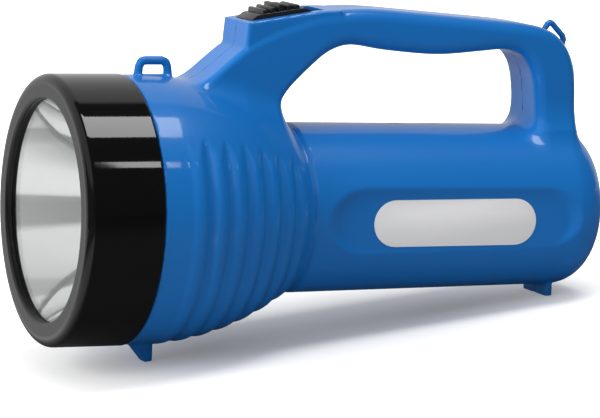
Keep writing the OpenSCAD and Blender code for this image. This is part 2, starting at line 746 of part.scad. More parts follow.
module reflector() {
    bowl = [for (i = [0:bowl_steps]) let (r = opening_r + (neck_hole_r - opening_r) * i / bowl_steps)
        [r, -(vertex_d - r * r / (4 * focal_len))]];
    back = [for (i = [bowl_steps:-1:0]) [bowl[i].x + reflector_wall, bowl[i].y]];
    color("silver") {
        turned(concat(bowl, [for (p = back) if (p.y < -flange_back_d) p],
                      [[opening_r + reflector_wall, -flange_back_d], [flange_r, -flange_back_d],
                       [flange_r, -flange_front_d]]));
        for (a = [0:120:240]) rotate([a, 0, 0]) translate([0, 0, sink_post_at]) difference() {
            disc(sink_post_r, vertex_d - sink_post_at * sink_post_at / (4 * focal_len) - 1.2, sink_front_d);
            disc(sink_screw_r + screw_gap, sink_front_d - 5, sink_front_d + 1);
        }
    }
}

module led_board() {
    color("white") disc(led_board_r, neck_d, neck_d + led_board_t);
}

module led_emitter() {
    color("khaki") {
        block(neck_d - emitter_base_t, neck_d, emitter_w, -emitter_w / 2, emitter_w / 2);
        intersection() {
            translate([-neck_d + emitter_base_t, 0, 0]) sphere(emitter_dome_r);
            disc(emitter_dome_r + 1, neck_d - emitter_base_t - emitter_dome_r - 1,
                 neck_d - emitter_base_t + 0.5);
        }
    }
}

module heat_sink() {
    sink_back_d = sink_front_d + sink_t;
    color("gainsboro") difference() {
        union() {
            disc(sink_r, sink_front_d, sink_back_d);
            for (i = [-2:2]) let (y = i * fin_pitch, reach = sqrt(sink_r * sink_r - y * y) - 3)
                block(sink_front_d, sink_back_d + fin_h, fin_t, -reach, reach, y);
        }
        for (a = [0:120:240]) rotate([a, 0, 0]) translate([0, 0, sink_post_at]) {
            disc(sink_screw_r + screw_gap, sink_front_d - 1, sink_back_d + 1);
            disc(sink_screw_r * 2 + slide_gap, sink_back_d, sink_back_d + fin_h + 1);
        }
        for (y = [-1, 1]) translate([0, y * wire_hole_at, 0])
            disc(wire_r + slide_gap, sink_front_d - 1, sink_back_d + fin_h + 1);
    }
}

module heat_sink_screws() {
    color("silver") for (a = [0:120:240]) rotate([a, 0, 0]) translate([0, 0, sink_post_at]) {
        disc(sink_screw_r, sink_front_d - 4.5, sink_front_d + sink_t);
        disc(sink_screw_r * 2, sink_front_d + sink_t, sink_front_d + sink_t + 1.6);
    }
}

module switch_knob() {
    crown = [0.62, 0.74, 1, 0.74, 0.62];
    valley = knob_h * 0.4;
    skirt = flange_top - 0.5;
    edge = knob_len / 2;
    shoulder = 2.9 * knob_pitch;
    ribs = [for (i = [-2:2]) let (mid = i * knob_pitch, top = knob_h * crown[i + 2])
        each [[mid - 0.34 * knob_pitch, valley], [mid - 0.2 * knob_pitch, top],
              [mid + 0.2 * knob_pitch, top], [mid + 0.34 * knob_pitch, valley]]];
    color("black") at_switch() difference() {
        union() {
            upright(knob_w) polygon(concat([[-edge, skirt], [-edge, 0.2], [-shoulder, valley]], ribs,
                                           [[shoulder, valley], [edge, 0.2], [edge, skirt]]));
            switch_block(-flange_reach, flange_reach, knob_w + 2 * flange_side, flange_low, flange_top);
            switch_block(-lever_w, lever_w, 2 * lever_w, flange_low - 1.6, flange_top);
        }
        switch_block(-lever_w / 2 - seat_gap, lever_w / 2 + seat_gap, lever_w + 2 * seat_gap,
                     flange_low - 5, lever_top);
    }
}

module switch_lever() {
    color("ivory") at_switch()
        switch_block(-lever_w / 2, lever_w / 2, lever_w, switch_top - lever_depth, lever_top);
}

module switch_frame() {
    color("lightsteelblue") at_switch() difference() {
        switch_block(frame_mid - frame_len / 2, frame_mid + frame_len / 2, frame_w, switch_top, frame_top);
        lever_way(switch_top - 1);
        for (side = [-1, 1])
            translate([frame_mid + side * frame_screw_x, side * frame_screw_y, switch_top - 1])
                cylinder(r = small_screw_r + screw_gap, h = frame_t + 2);
    }
}

// The slot that the lever runs in, from a height up past the frame
module lever_way(low) {
    switch_block(lever_w / 2 + slide_gap - lever_slot, lever_w / 2 + slide_gap, lever_w + 2 * slide_gap,
                 low, frame_top + 1);
}

module switch_body() {
    color("saddlebrown") at_switch() difference() {
        switch_block(-switch_len / 2 - 2, switch_len / 2 - 2, switch_w, switch_top - switch_h, switch_top);
        lever_way(switch_top - lever_depth - slide_gap);
    }
}

module switch_terminals() {
    color("goldenrod") at_switch() for (side = [-1, 1])
        switch_block(side * terminal_x - 0.4, side * terminal_x + 0.4, 2, terminal_low, switch_top - switch_h,
                     side * terminal_y);
}

module switch_screws() {
    color("silver") at_switch() for (side = [-1, 1])
        translate([frame_mid + side * frame_screw_x, side * frame_screw_y, switch_top - small_screw_len]) {
            cylinder(r = small_screw_r, h = small_screw_len + frame_t);
            translate([0, 0, small_screw_len + frame_t]) cylinder(r = small_screw_r * 1.6, h = small_screw_r);
        }
}

module battery() {
    color("dimgray") block(battery_front_d, battery_back_d, battery_w, -battery_h / 2, battery_h / 2);
}

module battery_terminals() {
    color("goldenrod") for (y = [-1, 1])
        block(tab_d, tab_d + tab_t, tab_w, battery_h / 2, battery_h / 2 + tab_h, y * tab_y);
}

module battery_pads() {
    color("gray") for (front = [battery_front_d - pad_t, battery_back_d])
        block(front, front + pad_t, battery_w - 4, -battery_h / 2 + 4, battery_h / 2 - 8);
}

module charger_board() {
    color("darkgreen") block(board_d, board_d + board_t, board_w, -board_h / 2, board_h / 2);
}

module board_parts() {
    face = board_d + board_t;
    color("slategray") {
        translate([0, capacitor_y, capacitor_z]) disc(capacitor_r, face, face + capacitor_h);
        translate([0, coil_y, coil_z]) disc(coil_r, face, face + coil_h);
        block(face, face + chip_t, chip_w, chip_gap, chip_gap + chip_w, chip_y);
        block(face, face + chip_t, chip_w, -chip_w - chip_gap, -chip_gap, diode_y);
        block(face, face + regulator_t, regulator_w, -board_h / 2 + chip_w, -chip_w - chip_gap, regulator_y);
    }
}

module charge_socket() {
    face = board_d + board_t;
    color("black") difference() {
        union() {
            block(face, rear_wall_d - seat_gap, socket_body_w, socket_z - socket_body_w / 2,
                  socket_z + socket_body_w / 2);
            translate([0, 0, socket_z]) disc(socket_r, rear_wall_d - 1, body_len);
        }
        translate([0, 0, socket_z]) disc(socket_bore_r, body_len - socket_depth, body_len + 1);
    }
}

module socket_pin() {
    color("silver") translate([0, 0, socket_z]) disc(pin_r, body_len - socket_depth, body_len - 1.2);
}

module charge_indicator() {
    face = board_d + board_t;
    color("firebrick") translate([0, 0, indicator_z]) {
        disc(indicator_r, rear_wall_d - 5, body_len);
        disc(indicator_r + 0.4, rear_wall_d - 5, rear_wall_d - 4);
        for (y = [-1, 1]) translate([0, y * 0.8, 0]) disc(0.3, face, rear_wall_d - 4.5);
    }
}

module label(side) {
    color("lightgray") translate([0, side * (panel_y - label_t / 2), 0]) upright(label_t)
        translate([-panel_mid_d, -panel_drop]) stadium(label_len, label_h);
}

module lamp_wire_red() {
    color("red") loft(lead_rings(lamp_red_route, wire_r));
}

module lamp_wire_black() {
    color("black") loft(lead_rings(lamp_black_route, wire_r));
}

module battery_wire_red() {
    color("red") loft(lead_rings(battery_red_route, wire_r));
}

module charge_wire_red() {
    color("red") loft(lead_rings(charge_red_route, wire_r));
}

module charge_wire_black() {
    color("black") loft(lead_rings(charge_black_route, wire_r));
}

standing() body_left();
standing() body_right();
standing() body_screws();
standing() bezel();
standing() lens();
standing() lens_seal();
standing() reflector();
standing() led_board();
standing() led_emitter();
standing() heat_sink();
standing() heat_sink_screws();
standing() switch_knob();
standing() switch_lever();
standing() switch_frame();
standing() switch_body();
standing() switch_terminals();
standing() switch_screws();
standing() battery();
standing() battery_terminals();
standing() battery_pads();
standing() charger_board();
standing() board_parts();
standing() charge_socket();
standing() socket_pin();
standing() charge_indicator();
standing() label(1);  // label_left
standing() label(-1);  // label_right
standing() lamp_wire_red();
standing() lamp_wire_black();
standing() battery_wire_red();
standing() charge_wire_red();
standing() charge_wire_black();
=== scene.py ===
# %% [markdown]
# # Handheld searchlight
# A moulded blue lamp body in two halves, a gloss black bezel that turns on a bayonet, a bright reflector
# behind a clear lens, and a black thumb switch that slides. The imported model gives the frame: every
# piece made here sits in that frame, in metres, and rides on one of its bodies.

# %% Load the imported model
import json
import math

import bmesh
import bpy
import numpy as np
from mathutils import Matrix, Vector


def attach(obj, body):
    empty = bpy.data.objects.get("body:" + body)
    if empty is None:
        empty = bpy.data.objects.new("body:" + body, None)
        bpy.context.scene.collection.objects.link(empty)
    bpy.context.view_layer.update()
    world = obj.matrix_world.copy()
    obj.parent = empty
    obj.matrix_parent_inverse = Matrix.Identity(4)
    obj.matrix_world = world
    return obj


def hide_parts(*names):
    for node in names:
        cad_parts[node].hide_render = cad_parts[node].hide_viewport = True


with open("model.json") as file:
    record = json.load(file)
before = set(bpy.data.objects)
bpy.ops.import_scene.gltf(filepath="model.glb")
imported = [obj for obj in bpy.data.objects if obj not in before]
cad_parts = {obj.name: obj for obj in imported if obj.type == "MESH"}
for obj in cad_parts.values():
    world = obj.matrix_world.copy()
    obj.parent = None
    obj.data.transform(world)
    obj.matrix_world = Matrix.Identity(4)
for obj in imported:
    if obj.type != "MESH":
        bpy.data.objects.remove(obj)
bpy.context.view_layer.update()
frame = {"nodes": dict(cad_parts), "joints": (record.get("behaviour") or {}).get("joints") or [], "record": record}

nodes = frame["nodes"]

# %% [markdown]
# The lamp stands on two feet with its beam tilted a little upwards. It is easier to think along the beam,
# so pieces are drawn in a beam frame in millimetres: x forward along the beam, y to the lamp's left, z up,
# with the origin on the beam axis at the bezel's front. The bezel's own joint gives that axis.

# %% Beam frame
MM = 0.001
bezel_joint = next(j for j in frame["joints"] if j["name"] == "bezel_turn")
beam_start = np.array(bezel_joint["pos_m"])
beam_way = np.array(bezel_joint["axis"]) / np.linalg.norm(bezel_joint["axis"])
left_way = np.array((0.0, 1.0, 0.0))
beam_axes = np.array((beam_way, left_way, np.cross(beam_way, left_way)))


def to_row(points):
    """Points of the beam frame in millimetres, as row-frame metres."""
    return beam_start + np.asarray(points, float) @ beam_axes * MM


def turn_to_row(directions):
    """Directions of the beam frame in the row frame."""
    return np.asarray(directions, float) @ beam_axes


tilt = math.degrees(math.asin(beam_way[2]))
print("beam tilt", round(tilt, 2), "degrees")

# %% [markdown]
# ## Camera
# A long lens keeps the round bezel from bulging. The place and turn of the camera were found by matching
# the rims and edges of the lamp, and the lens follows from a frame 600 pixels wide.

# %% Camera
FRAME_WIDTH, SENSOR = 600, 36.0
focal_pixels = 3845.8
camera_place = (511.37, 1442.12, 207.56)
camera_right = np.array((-0.9192, 0.3916, 0.0420))
camera_up = np.array((-0.0133, -0.1374, 0.9904))

right = turn_to_row(camera_right / np.linalg.norm(camera_right))
up = turn_to_row(camera_up)
back = np.cross(right, up)
back /= np.linalg.norm(back)
up = np.cross(back, right)
camera_data = bpy.data.cameras.new("photo_camera")
camera_data.sensor_width = SENSOR
camera_data.sensor_fit = "HORIZONTAL"
camera_data.lens = focal_pixels / FRAME_WIDTH * SENSOR
camera_data.clip_start, camera_data.clip_end = 0.05, 60
camera = bpy.data.objects.new("photo_camera", camera_data)
bpy.context.scene.collection.objects.link(camera)
turned = np.eye(4)
turned[:3, 0], turned[:3, 1], turned[:3, 2], turned[:3, 3] = right, up, back, to_row(camera_place)
camera.matrix_world = Matrix(turned.tolist())
bpy.context.scene.camera = camera
print("camera lens", round(camera_data.lens, 1), "at", [round(v, 3) for v in turned[:3, 3]])

# %% [markdown]
# ## Finishes
# Moulded plastic is never one flat colour: the melt flows in faint clouds and the tool leaves a very fine
# grain. One shader group makes both, and each plastic sets its own amounts. Metal gets its own group of
# fine drawn lines.

# %% Node helpers


def new_tree(name, kind, inputs, outputs):
    """A node group with named sockets; returns it with its input and output nodes."""
    tree = bpy.data.node_groups.new(name, kind)
    add_socket = tree.interface.new_socket
    for socket_name, (socket_kind, value) in inputs.items():
        made = add_socket(name=socket_name, in_out="INPUT", socket_type="NodeSocket" + socket_kind)
        if value is not None:
            made.default_value = value
    for socket_name, socket_kind in outputs.items():
        add_socket(name=socket_name, in_out="OUTPUT", socket_type="NodeSocket" + socket_kind)
    return tree, tree.nodes.new("NodeGroupInput"), tree.nodes.new("NodeGroupOutput")


def link(tree, start, end):
    tree.links.new(start, end)


def make_node(tree, kind, inputs=None, **settings):
    """A node with settings such as its operation, and with inputs that are sockets or plain values."""
    node = tree.nodes.new(kind)
    for name, value in settings.items():
        setattr(node, name, value)
    for key, value in (inputs or {}).items():
        if isinstance(value, bpy.types.NodeSocket):
            link(tree, value, node.inputs[key])
        else:
            node.inputs[key].default_value = value
    return node


def math_node(tree, operation, *values):
    """A Math node whose inputs are sockets or numbers."""
    return make_node(tree, "ShaderNodeMath", dict(enumerate(values)), operation=operation).outputs[0]


def ramp(tree, value, low, high, start, end):
    """A smooth change from start to end while a value goes from low to high."""
    ends = {"Value": value, "From Min": low, "From Max": high, "To Min": start, "To Max": end}
    return make_node(tree, "ShaderNodeMapRange", ends, interpolation_type="SMOOTHSTEP").outputs["Result"]


print("node helpers ready")

# %% Shared shader groups
SKIN_OUTPUTS = {"Color": "Color", "Roughness": "Float", "Height": "Float"}


def shade_color(tree, enter, leave, swing):
    """Makes a group's colour lighter and darker by a swing about zero."""
    value = math_node(tree, "MULTIPLY_ADD", swing, 2.0, 1.0)
    shade = make_node(tree, "ShaderNodeHueSaturation", {"Color": enter.outputs["Color"], "Value": value})
    link(tree, shade.outputs["Color"], leave.inputs["Color"])


def make_moulded_group():
    """Clouded colour, uneven gloss and fine tool grain of moulded plastic."""
    inputs = {"Color": ("Color", (0.5, 0.5, 0.5, 1)), "Cloud Amount": ("Float", 0.08),
              "Cloud Scale": ("Float", 30.0), "Grain Scale": ("Float", 900.0), "Roughness": ("Float", 0.3),
              "Roughness Spread": ("Float", 0.08)}
    tree, enter, leave = new_tree("moulded_skin", "ShaderNodeTree", inputs, SKIN_OUTPUTS)
    place = tree.nodes.new("ShaderNodeTexCoord").outputs["Object"]
    textures = []
    for scale, detail in (("Cloud Scale", 4.0), ("Grain Scale", 2.0)):
        noise = {"Vector": place, "Scale": enter.outputs[scale], "Detail": detail}
        textures.append(make_node(tree, "ShaderNodeTexNoise", noise).outputs["Fac"])
    clouds, grain = textures
    centred = math_node(tree, "SUBTRACT", clouds, 0.5)
    shade_color(tree, enter, leave, math_node(tree, "MULTIPLY", centred, enter.outputs["Cloud Amount"]))
    mixed = math_node(tree, "ADD", centred, math_node(tree, "SUBTRACT", grain, 0.5))
    spread, base = enter.outputs["Roughness Spread"], enter.outputs["Roughness"]
    link(tree, math_node(tree, "MULTIPLY_ADD", mixed, spread, base), leave.inputs["Roughness"])
    link(tree, grain, leave.inputs["Height"])
    return tree


def make_drawn_group():
    """Fine lines and stains of drawn or plated metal."""
    inputs = {"Color": ("Color", (0.6, 0.6, 0.6, 1)), "Line Scale": ("Float", 400.0),
              "Line Amount": ("Float", 0.15), "Roughness": ("Float", 0.3)}
    tree, enter, leave = new_tree("drawn_metal", "ShaderNodeTree", inputs, SKIN_OUTPUTS)
    place = tree.nodes.new("ShaderNodeTexCoord").outputs["Object"]
    stretch = make_node(tree, "ShaderNodeMapping", {"Vector": place, "Scale": (1.0, 1.0, 0.06)})
    noise = {"Vector": stretch.outputs["Vector"], "Scale": enter.outputs["Line Scale"], "Detail": 3.0}
    lines = make_node(tree, "ShaderNodeTexNoise", noise).outputs["Fac"]
    centred = math_node(tree, "SUBTRACT", lines, 0.5)
    swing = math_node(tree, "MULTIPLY", centred, enter.outputs["Line Amount"])
    shade_color(tree, enter, leave, swing)
    link(tree, math_node(tree, "ADD", enter.outputs["Roughness"], swing), leave.inputs["Roughness"])
    link(tree, lines, leave.inputs["Height"])
    return tree


moulded_skin = make_moulded_group()
drawn_metal = make_drawn_group()
print("shader groups", moulded_skin.name, drawn_metal.name)

# %% [markdown]
# A material is then a Principled shader, the group that feeds its colour, roughness and bump, and plain
# numbers on the shader's own sockets for what doesn't change over the surface.

# %% Material makers
GRAIN_DEPTH, SKIN_GLOSS = 0.0004, 0.08


def start_material(name):
    """A new material with a Principled shader; returns the material, its tree and the shader."""
    material = bpy.data.materials.new(name)
    material.use_nodes = True
    tree = material.node_tree
    tree.nodes.clear()
    shader = tree.nodes.new("ShaderNodeBsdfPrincipled")
    make_node(tree, "ShaderNodeOutputMaterial", {"Surface": shader.outputs["BSDF"]})
    return material, tree, shader


def use_group(tree, shader, group, color, bump, **values):
    """Places a group in a material and joins it to the shader."""
    node = make_node(tree, "ShaderNodeGroup", node_tree=group)
    node.inputs["Color"].default_value = (*color, 1)
    for name, value in values.items():
        node.inputs[name.replace("_", " ").title()].default_value = value
    link(tree, node.outputs["Color"], shader.inputs["Base Color"])
    link(tree, node.outputs["Roughness"], shader.inputs["Roughness"])
    grain = {"Strength": bump, "Distance": GRAIN_DEPTH, "Height": node.outputs["Height"]}
    link(tree, make_node(tree, "ShaderNodeBump", grain).outputs["Normal"], shader.inputs["Normal"])
    return node


def plastic(name, color, roughness=0.3, bump=0.03, specular=0.5, polish=0.0, **values):
    """A moulded plastic; polish is the share of a thin clear skin over its softer sheen."""
    material, tree, shader = start_material(name)
    use_group(tree, shader, moulded_skin, color, bump, roughness=roughness, **values)
    shader.inputs["Specular IOR Level"].default_value = specular
    shader.inputs["Coat Weight"].default_value = polish
    shader.inputs["Coat Roughness"].default_value = SKIN_GLOSS
    return material


def metal(name, color, roughness=0.3, bump=0.05, **values):
    """A drawn or plated metal."""
    material, tree, shader = start_material(name)
    use_group(tree, shader, drawn_metal, color, bump, roughness=roughness, **values)
    shader.inputs["Metallic"].default_value = 1.0
    return material


plain_plastics = {
    "seal_black": ((0.03, 0.03, 0.03), 0.7, 0.1),
    "board_white": ((0.86, 0.86, 0.84), 0.35, 0.02),
    "knob_black": ((0.014, 0.014, 0.015), 0.34, 0.08, 0.45),
    "lever_white": ((0.8, 0.79, 0.74), 0.4, 0.03),
    "switch_brown": ((0.2, 0.11, 0.06), 0.45, 0.05),
    "battery_grey": ((0.17, 0.18, 0.19), 0.5, 0.08),
    "board_green": ((0.03, 0.2, 0.09), 0.3, 0.03),
    "parts_dark": ((0.1, 0.11, 0.13), 0.4, 0.05),
    "indicator_red": ((0.55, 0.03, 0.02), 0.15, 0.0),
    "wire_red": ((0.5, 0.03, 0.03), 0.4, 0.03),
    "wire_black": ((0.03, 0.03, 0.03), 0.4, 0.03),
}
finishes = {name: plastic(name, *values) for name, values in plain_plastics.items()}
finishes["body_blue"] = plastic("body_blue", (0.006, 0.155, 0.505), 0.38, 0.008, 0.16, 0.5, cloud_amount=0.05,
                                cloud_scale=14, roughness_spread=0.04)
finishes["label_grey"] = plastic("label_grey", (0.84, 0.84, 0.85), 0.42, 0.03, 0.4, cloud_amount=0.03)
finishes["pad_grey"] = plastic("pad_grey", (0.25, 0.25, 0.26), 0.9, 0.5, grain_scale=500)
finishes["emitter_yellow"] = plastic("emitter_yellow", (0.88, 0.72, 0.22), 0.12, 0.0, cloud_scale=900)
finishes["steel"] = metal("steel", (0.58, 0.58, 0.59))
finishes["brass"] = metal("brass", (0.72, 0.55, 0.25))
finishes["sink_grey"] = metal("sink_grey", (0.6, 0.6, 0.61), 0.4)
finishes["reflector_bright"] = metal("reflector_bright", (0.90, 0.91, 0.90), 0.05, 0.0, line_amount=0.02)
print("finishes", len(finishes))

# %% [markdown]
# The bezel is gloss black with a satin front rim, so its roughness changes with the distance from the beam
# axis. The lens is clear polycarbonate, so it keeps a plain transmission.

# %% Bezel and lens finishes
RIM_R, RIM_EDGE, RIM_ROUGHNESS, SIDE_ROUGHNESS = 0.0502, 0.0012, 0.34, 0.05
bezel_black, bezel_tree, bezel_shader = start_material("bezel_black")
bezel_skin = use_group(bezel_tree, bezel_shader, moulded_skin, (0.004, 0.004, 0.0045), 0.004,
                       roughness_spread=0.03)


def vector_node(tree, operation, *values):
    """A Vector Math node whose inputs are sockets or vectors."""
    return make_node(tree, "ShaderNodeVectorMath", dict(enumerate(values)), operation=operation).outputs


bezel_place = bezel_tree.nodes.new("ShaderNodeTexCoord").outputs["Object"]
from_start = vector_node(bezel_tree, "SUBTRACT", bezel_place, beam_start)["Vector"]
off_beam = vector_node(bezel_tree, "CROSS_PRODUCT", from_start, beam_way)["Vector"]
axis_gap = vector_node(bezel_tree, "LENGTH", off_beam)["Value"]
rim = ramp(bezel_tree, axis_gap, RIM_R, RIM_R + RIM_EDGE, RIM_ROUGHNESS, SIDE_ROUGHNESS)
link(bezel_tree, rim, bezel_skin.inputs["Roughness"])
shine = math_node(bezel_tree, "MULTIPLY_ADD", rim, 0.32, 0.34)
link(bezel_tree, shine, bezel_shader.inputs["Specular IOR Level"])
finishes["bezel_black"] = bezel_black

lens_clear, lens_tree, lens_shader = start_material("lens_clear")
lens_shader.inputs["Base Color"].default_value = (0.97, 0.985, 0.98, 1)
lens_shader.inputs["Transmission Weight"].default_value = 1.0
lens_shader.inputs["IOR"].default_value = 1.45
lens_dust = make_node(lens_tree, "ShaderNodeGroup", node_tree=moulded_skin)
lens_dust.inputs["Roughness"].default_value = 0.012
lens_dust.inputs["Roughness Spread"].default_value = 0.02
link(lens_tree, lens_dust.outputs["Roughness"], lens_shader.inputs["Roughness"])
finishes["lens_clear"] = lens_clear

for entry in frame["record"]["subparts"]:
    for place in nodes[entry["node"]].material_slots:
        place.material = finishes[entry["material_slot"]]

# %% [markdown]
# ## Body form
# The two half shells flow: the bell runs into the barrel, and the handle's legs grow out of both with
# soft fillets. A mesh drawn face by face would need a lot of patching there, so the form is written as a
# distance: for every point, how far it is outside the plastic. Two such forms join with a fillet when the
# smaller distance is taken smoothly.

# %% Distance helpers


def smooth_low(a, b, k):
    """The smaller of two distances, with a fillet of about k millimetres where they meet."""
    h = np.clip(0.5 + 0.5 * (b - a) / k, 0, 1)
    return b + (a - b) * h - k * h * (1 - h)


def smooth_high(a, b, k):
    return -smooth_low(-a, -b, k)


def rounded(a, b, r):
    """The inside of both distances, with the edge between them rounded by r."""
    p, q = a + r, b + r
    return np.minimum(np.maximum(p, q), 0) + np.hypot(np.maximum(p, 0), np.maximum(q, 0)) - r


def box_distance(values, halves):
    """Distance to a box from offsets along its own axes."""
    over = [np.abs(v) - h for v, h in zip(values, halves)]
    outside = np.sqrt(sum(np.maximum(o, 0) ** 2 for o in over))
    deepest = over[0]
    for o in over[1:]:
        deepest = np.maximum(deepest, o)
    return outside + np.minimum(deepest, 0)


def rod_distance(points, r, d, y, z):
    """Distance to a round rod bent through points in the plane y = 0."""
    best = None
    for (ad, az), (bd, bz) in zip(points, points[1:]):
        ed, ez = bd - ad, bz - az
        t = np.clip(((d - ad) * ed + (z - az) * ez) / (ed * ed + ez * ez), 0, 1)
        away = (d - ad - t * ed) ** 2 + (z - az - t * ez) ** 2 + y * y
        best = away if best is None else np.minimum(best, away)
    return np.sqrt(best) - r


def smooth_line(points, steps=6):
    """A curve that passes through every point."""
    points = np.asarray(points, float)
    ends = np.vstack((2 * points[0] - points[1], points, 2 * points[-1] - points[-2]))
    made = []
    for a, b, c, e in zip(ends, ends[1:], ends[2:], ends[3:]):
        for t in np.arange(steps) / steps:
            made.append(0.5 * (2 * b + (c - a) * t + (2 * a - 5 * b + 4 * c - e) * t ** 2
                               + (3 * b - a - 3 * c + e) * t ** 3))
    made.append(points[-1])
    return np.array(made)


def outline_lookup(points, low, high, step=0.4):
    points = np.asarray(points, float)
    grid_a = np.arange(low[0], high[0] + step, step)
    grid_b = np.arange(low[1], high[1] + step, step)
    a, b = np.meshgrid(grid_a, grid_b, indexing="ij")
    best, inside = np.full(a.shape, 1e9), np.zeros(a.shape, bool)
    for (pa, pb), (qa, qb) in zip(points, np.roll(points, -1, axis=0)):
        ea, eb = qa - pa, qb - pb
        t = np.clip(((a - pa) * ea + (b - pb) * eb) / max(ea * ea + eb * eb, 1e-9), 0, 1)
        best = np.minimum(best, (a - pa - t * ea) ** 2 + (b - pb - t * eb) ** 2)
        if eb:
            inside ^= ((pb > b) != (qb > b)) & (a < ea * (b - pb) / eb + pa)
    table = np.where(inside, -1, 1) * np.sqrt(best)

    def look(u, v):
        s = np.clip((u - low[0]) / step, 0, table.shape[0] - 1.001)
        t = np.clip((v - low[1]) / step, 0, table.shape[1] - 1.001)
        i, j = s.astype(int), t.astype(int)
        s, t = s - i, t - j
        return ((table[i, j] * (1 - s) + table[i + 1, j] * s) * (1 - t)
                + (table[i, j + 1] * (1 - s) + table[i + 1, j + 1] * s) * t)
    return look


print("distance helpers ready")

# %% [markdown]
# The head, bell and barrel are one turned outline. It is given as the distance d behind the bezel's
# front and the radius there.

# %% Turned outline of the body
HEAD_R, HEAD_FRONT, BELL_START, BELL_LEN, NECK_R = 54.6, 32.35, 40.0, 63.8, 33.8
BARREL_FRONT_R, BARREL_REAR_R, BODY_LEN, REAR_ROUND = 35.1, 33.8, 240.5, 15.5
bell_drop = HEAD_R - NECK_R
BELL_R = (BELL_LEN ** 2 + bell_drop ** 2) / (2 * bell_drop)
bell_sweep = math.asin(BELL_LEN / BELL_R)


def bend_line(start_d, start_r, bend_r, sweep, count):
    """Points (d, radius) of a curve that leaves the straight at its radius and bends inwards."""
    return [(start_d + bend_r * math.sin(a), start_r - bend_r * (1 - math.cos(a)))
            for a in np.linspace(0, sweep, count)]


bell_line = bend_line(BELL_START, HEAD_R, BELL_R, bell_sweep, 25)
rear_line = bend_line(BODY_LEN - REAR_ROUND, BARREL_REAR_R, REAR_ROUND, math.pi / 2, 13)
NECK_D = BELL_START + BELL_LEN
neck_line = [(NECK_D + d, r) for d, r in ((0.7, 33.9), (1.4, 34.6), (2.3, 35.1), (3.4, BARREL_FRONT_R))]
turned_line = ([(HEAD_FRONT, 0), (HEAD_FRONT, HEAD_R - 0.6), (HEAD_FRONT + 0.6, HEAD_R)] + bell_line
               + neck_line + rear_line + [(BODY_LEN, 0)])
turned_form = outline_lookup(turned_line, (-5, 0), (262, 76))
print("turned outline points", len(turned_line), "bell radius", round(BELL_R, 1))

# %% [markdown]
# Seen from the side, the handle is a band: an outer line up the front slope, over the grip and down the
# rear leg, and an inner line round the finger gap. Both run on into the body, where the fillet takes over.

# %% Side outline of the handle
outer_line = smooth_line([
    (46, 38), (54.5, 45.6), (62.5, 52.6), (71, 59.8), (79, 66.3), (86, 70.4), (93, 73.7), (102, 77.4),
    (111, 80.5), (120, 82.2), (130, 82.8), (140, 82.7), (158, 81.4), (176, 80.0), (195, 78.5), (204, 77.6),
    (213, 76.1), (220.2, 73.2), (225.6, 68.0), (228.7, 62.1), (230.1, 56.9), (230.8, 49.4), (231.1, 40),
    (231.2, 30), (231.2, 20)])
inner_line = smooth_line([
    (212.6, 20), (212.5, 36), (212.4, 42), (212, 48), (210.9, 55), (208.6, 60.8), (204.4, 64.9), (197, 66.4),
    (186, 65.6), (175, 64.6), (167.5, 64.3), (158.5, 64.6), (142.3, 66.1), (131.4, 67.8), (126, 68.0),
    (120.8, 66.7), (115.5, 63.9), (110.4, 59.8), (105.3, 55.3), (100.6, 50.6), (97.2, 45.8), (96.2, 41),
    (96, 34), (96, 20)])
handle_line = np.vstack((outer_line, inner_line, [(60, 20), (46, 30)]))
handle_form = outline_lookup(handle_line, (20, -10), (262, 100))
print("handle outline points", len(handle_line))

# %% [markdown]
# The switch housing is a block on the front of the grip with a sloping top. Its slot is drawn in a frame
# of its own that follows the slope, because the thumb knob slides along it.

# %% Switch housing and its frame
SWITCH_D, SWITCH_Z, SWITCH_SLOPE = 97.5, 79.7, math.radians(8.7)
SLOT_BACK, SLOT_FRONT, SLOT_HALF, SLOT_MID, SLOT_REACH = -18.6, 14.1, 8.6, 14, 20
housing_line = [(79.3, 58), (81.0, 77.15), (113, 82.1), (122, 82.4), (122, 70), (102, 60)]
housing_form = outline_lookup(housing_line, (60, 40), (140, 100), 0.25)


def switch_frame_place(d, z):
    """Places along the slope, forwards, and above the housing's top."""
    x, h = SWITCH_D - d, z - SWITCH_Z
    return (x * math.cos(SWITCH_SLOPE) - h * math.sin(SWITCH_SLOPE),
            x * math.sin(SWITCH_SLOPE) + h * math.cos(SWITCH_SLOPE))


front_foot_line = [(37.6, -53.2), (45.4, -62.42), (48.5, -61.99), (48.5, -52.5)]
rear_foot_line = [(222.6, -24), (222.6, -38.06), (225.0, -37.74), (225.0, -24)]
front_foot_form = outline_lookup(front_foot_line, (25, -70), (62, -40), 0.2)
rear_foot_form = outline_lookup(rear_foot_line, (210, -48), (238, -14), 0.2)
print("housing, slot and feet outlined")

# %% [markdown]
# Now the whole form. Grip ribs are a wave along the bell's curve: the surface sinks between them and stands
# out a little on them. They fade out above the horizontal and are lower underneath. The side panel is a
# slot with sloping walls pressed into the barrel, and the strap eyes are bent rods.

# %% The closed body form
RIB_PITCH, RIB_COUNT, RIB_H, RIB_END = 9.05, 7, 1.7, 36.0
RIB_STAND, RIB_FADE, RIB_SHARPNESS = 0.35, 9, 2.8
rib_first = BELL_R * bell_sweep / 2 - RIB_PITCH * (RIB_COUNT - 1) / 2 + 0.7
PANEL_D, PANEL_Z, PANEL_R, PANEL_HALF, PANEL_Y = 169.5, -3.0, 16.0, 40.5, 31.0
PANEL_SLOPE, PANEL_INSET = 1.7, 4.5
front_eye_rod = [(38.7, 53.0), (39.4, 58.4), (40.2, 59.9), (41.7, 60.5), (49.0, 60.5), (50.6, 59.9),
                 (51.4, 58.4), (52.1, 53.0)]
rear_eye_rod = [(219.4, 71.5), (222.3, 76.2), (223.3, 76.8), (224.6, 76.4), (229.7, 71.2), (230.2, 69.8),
                (229.6, 68.0), (226.4, 63)]


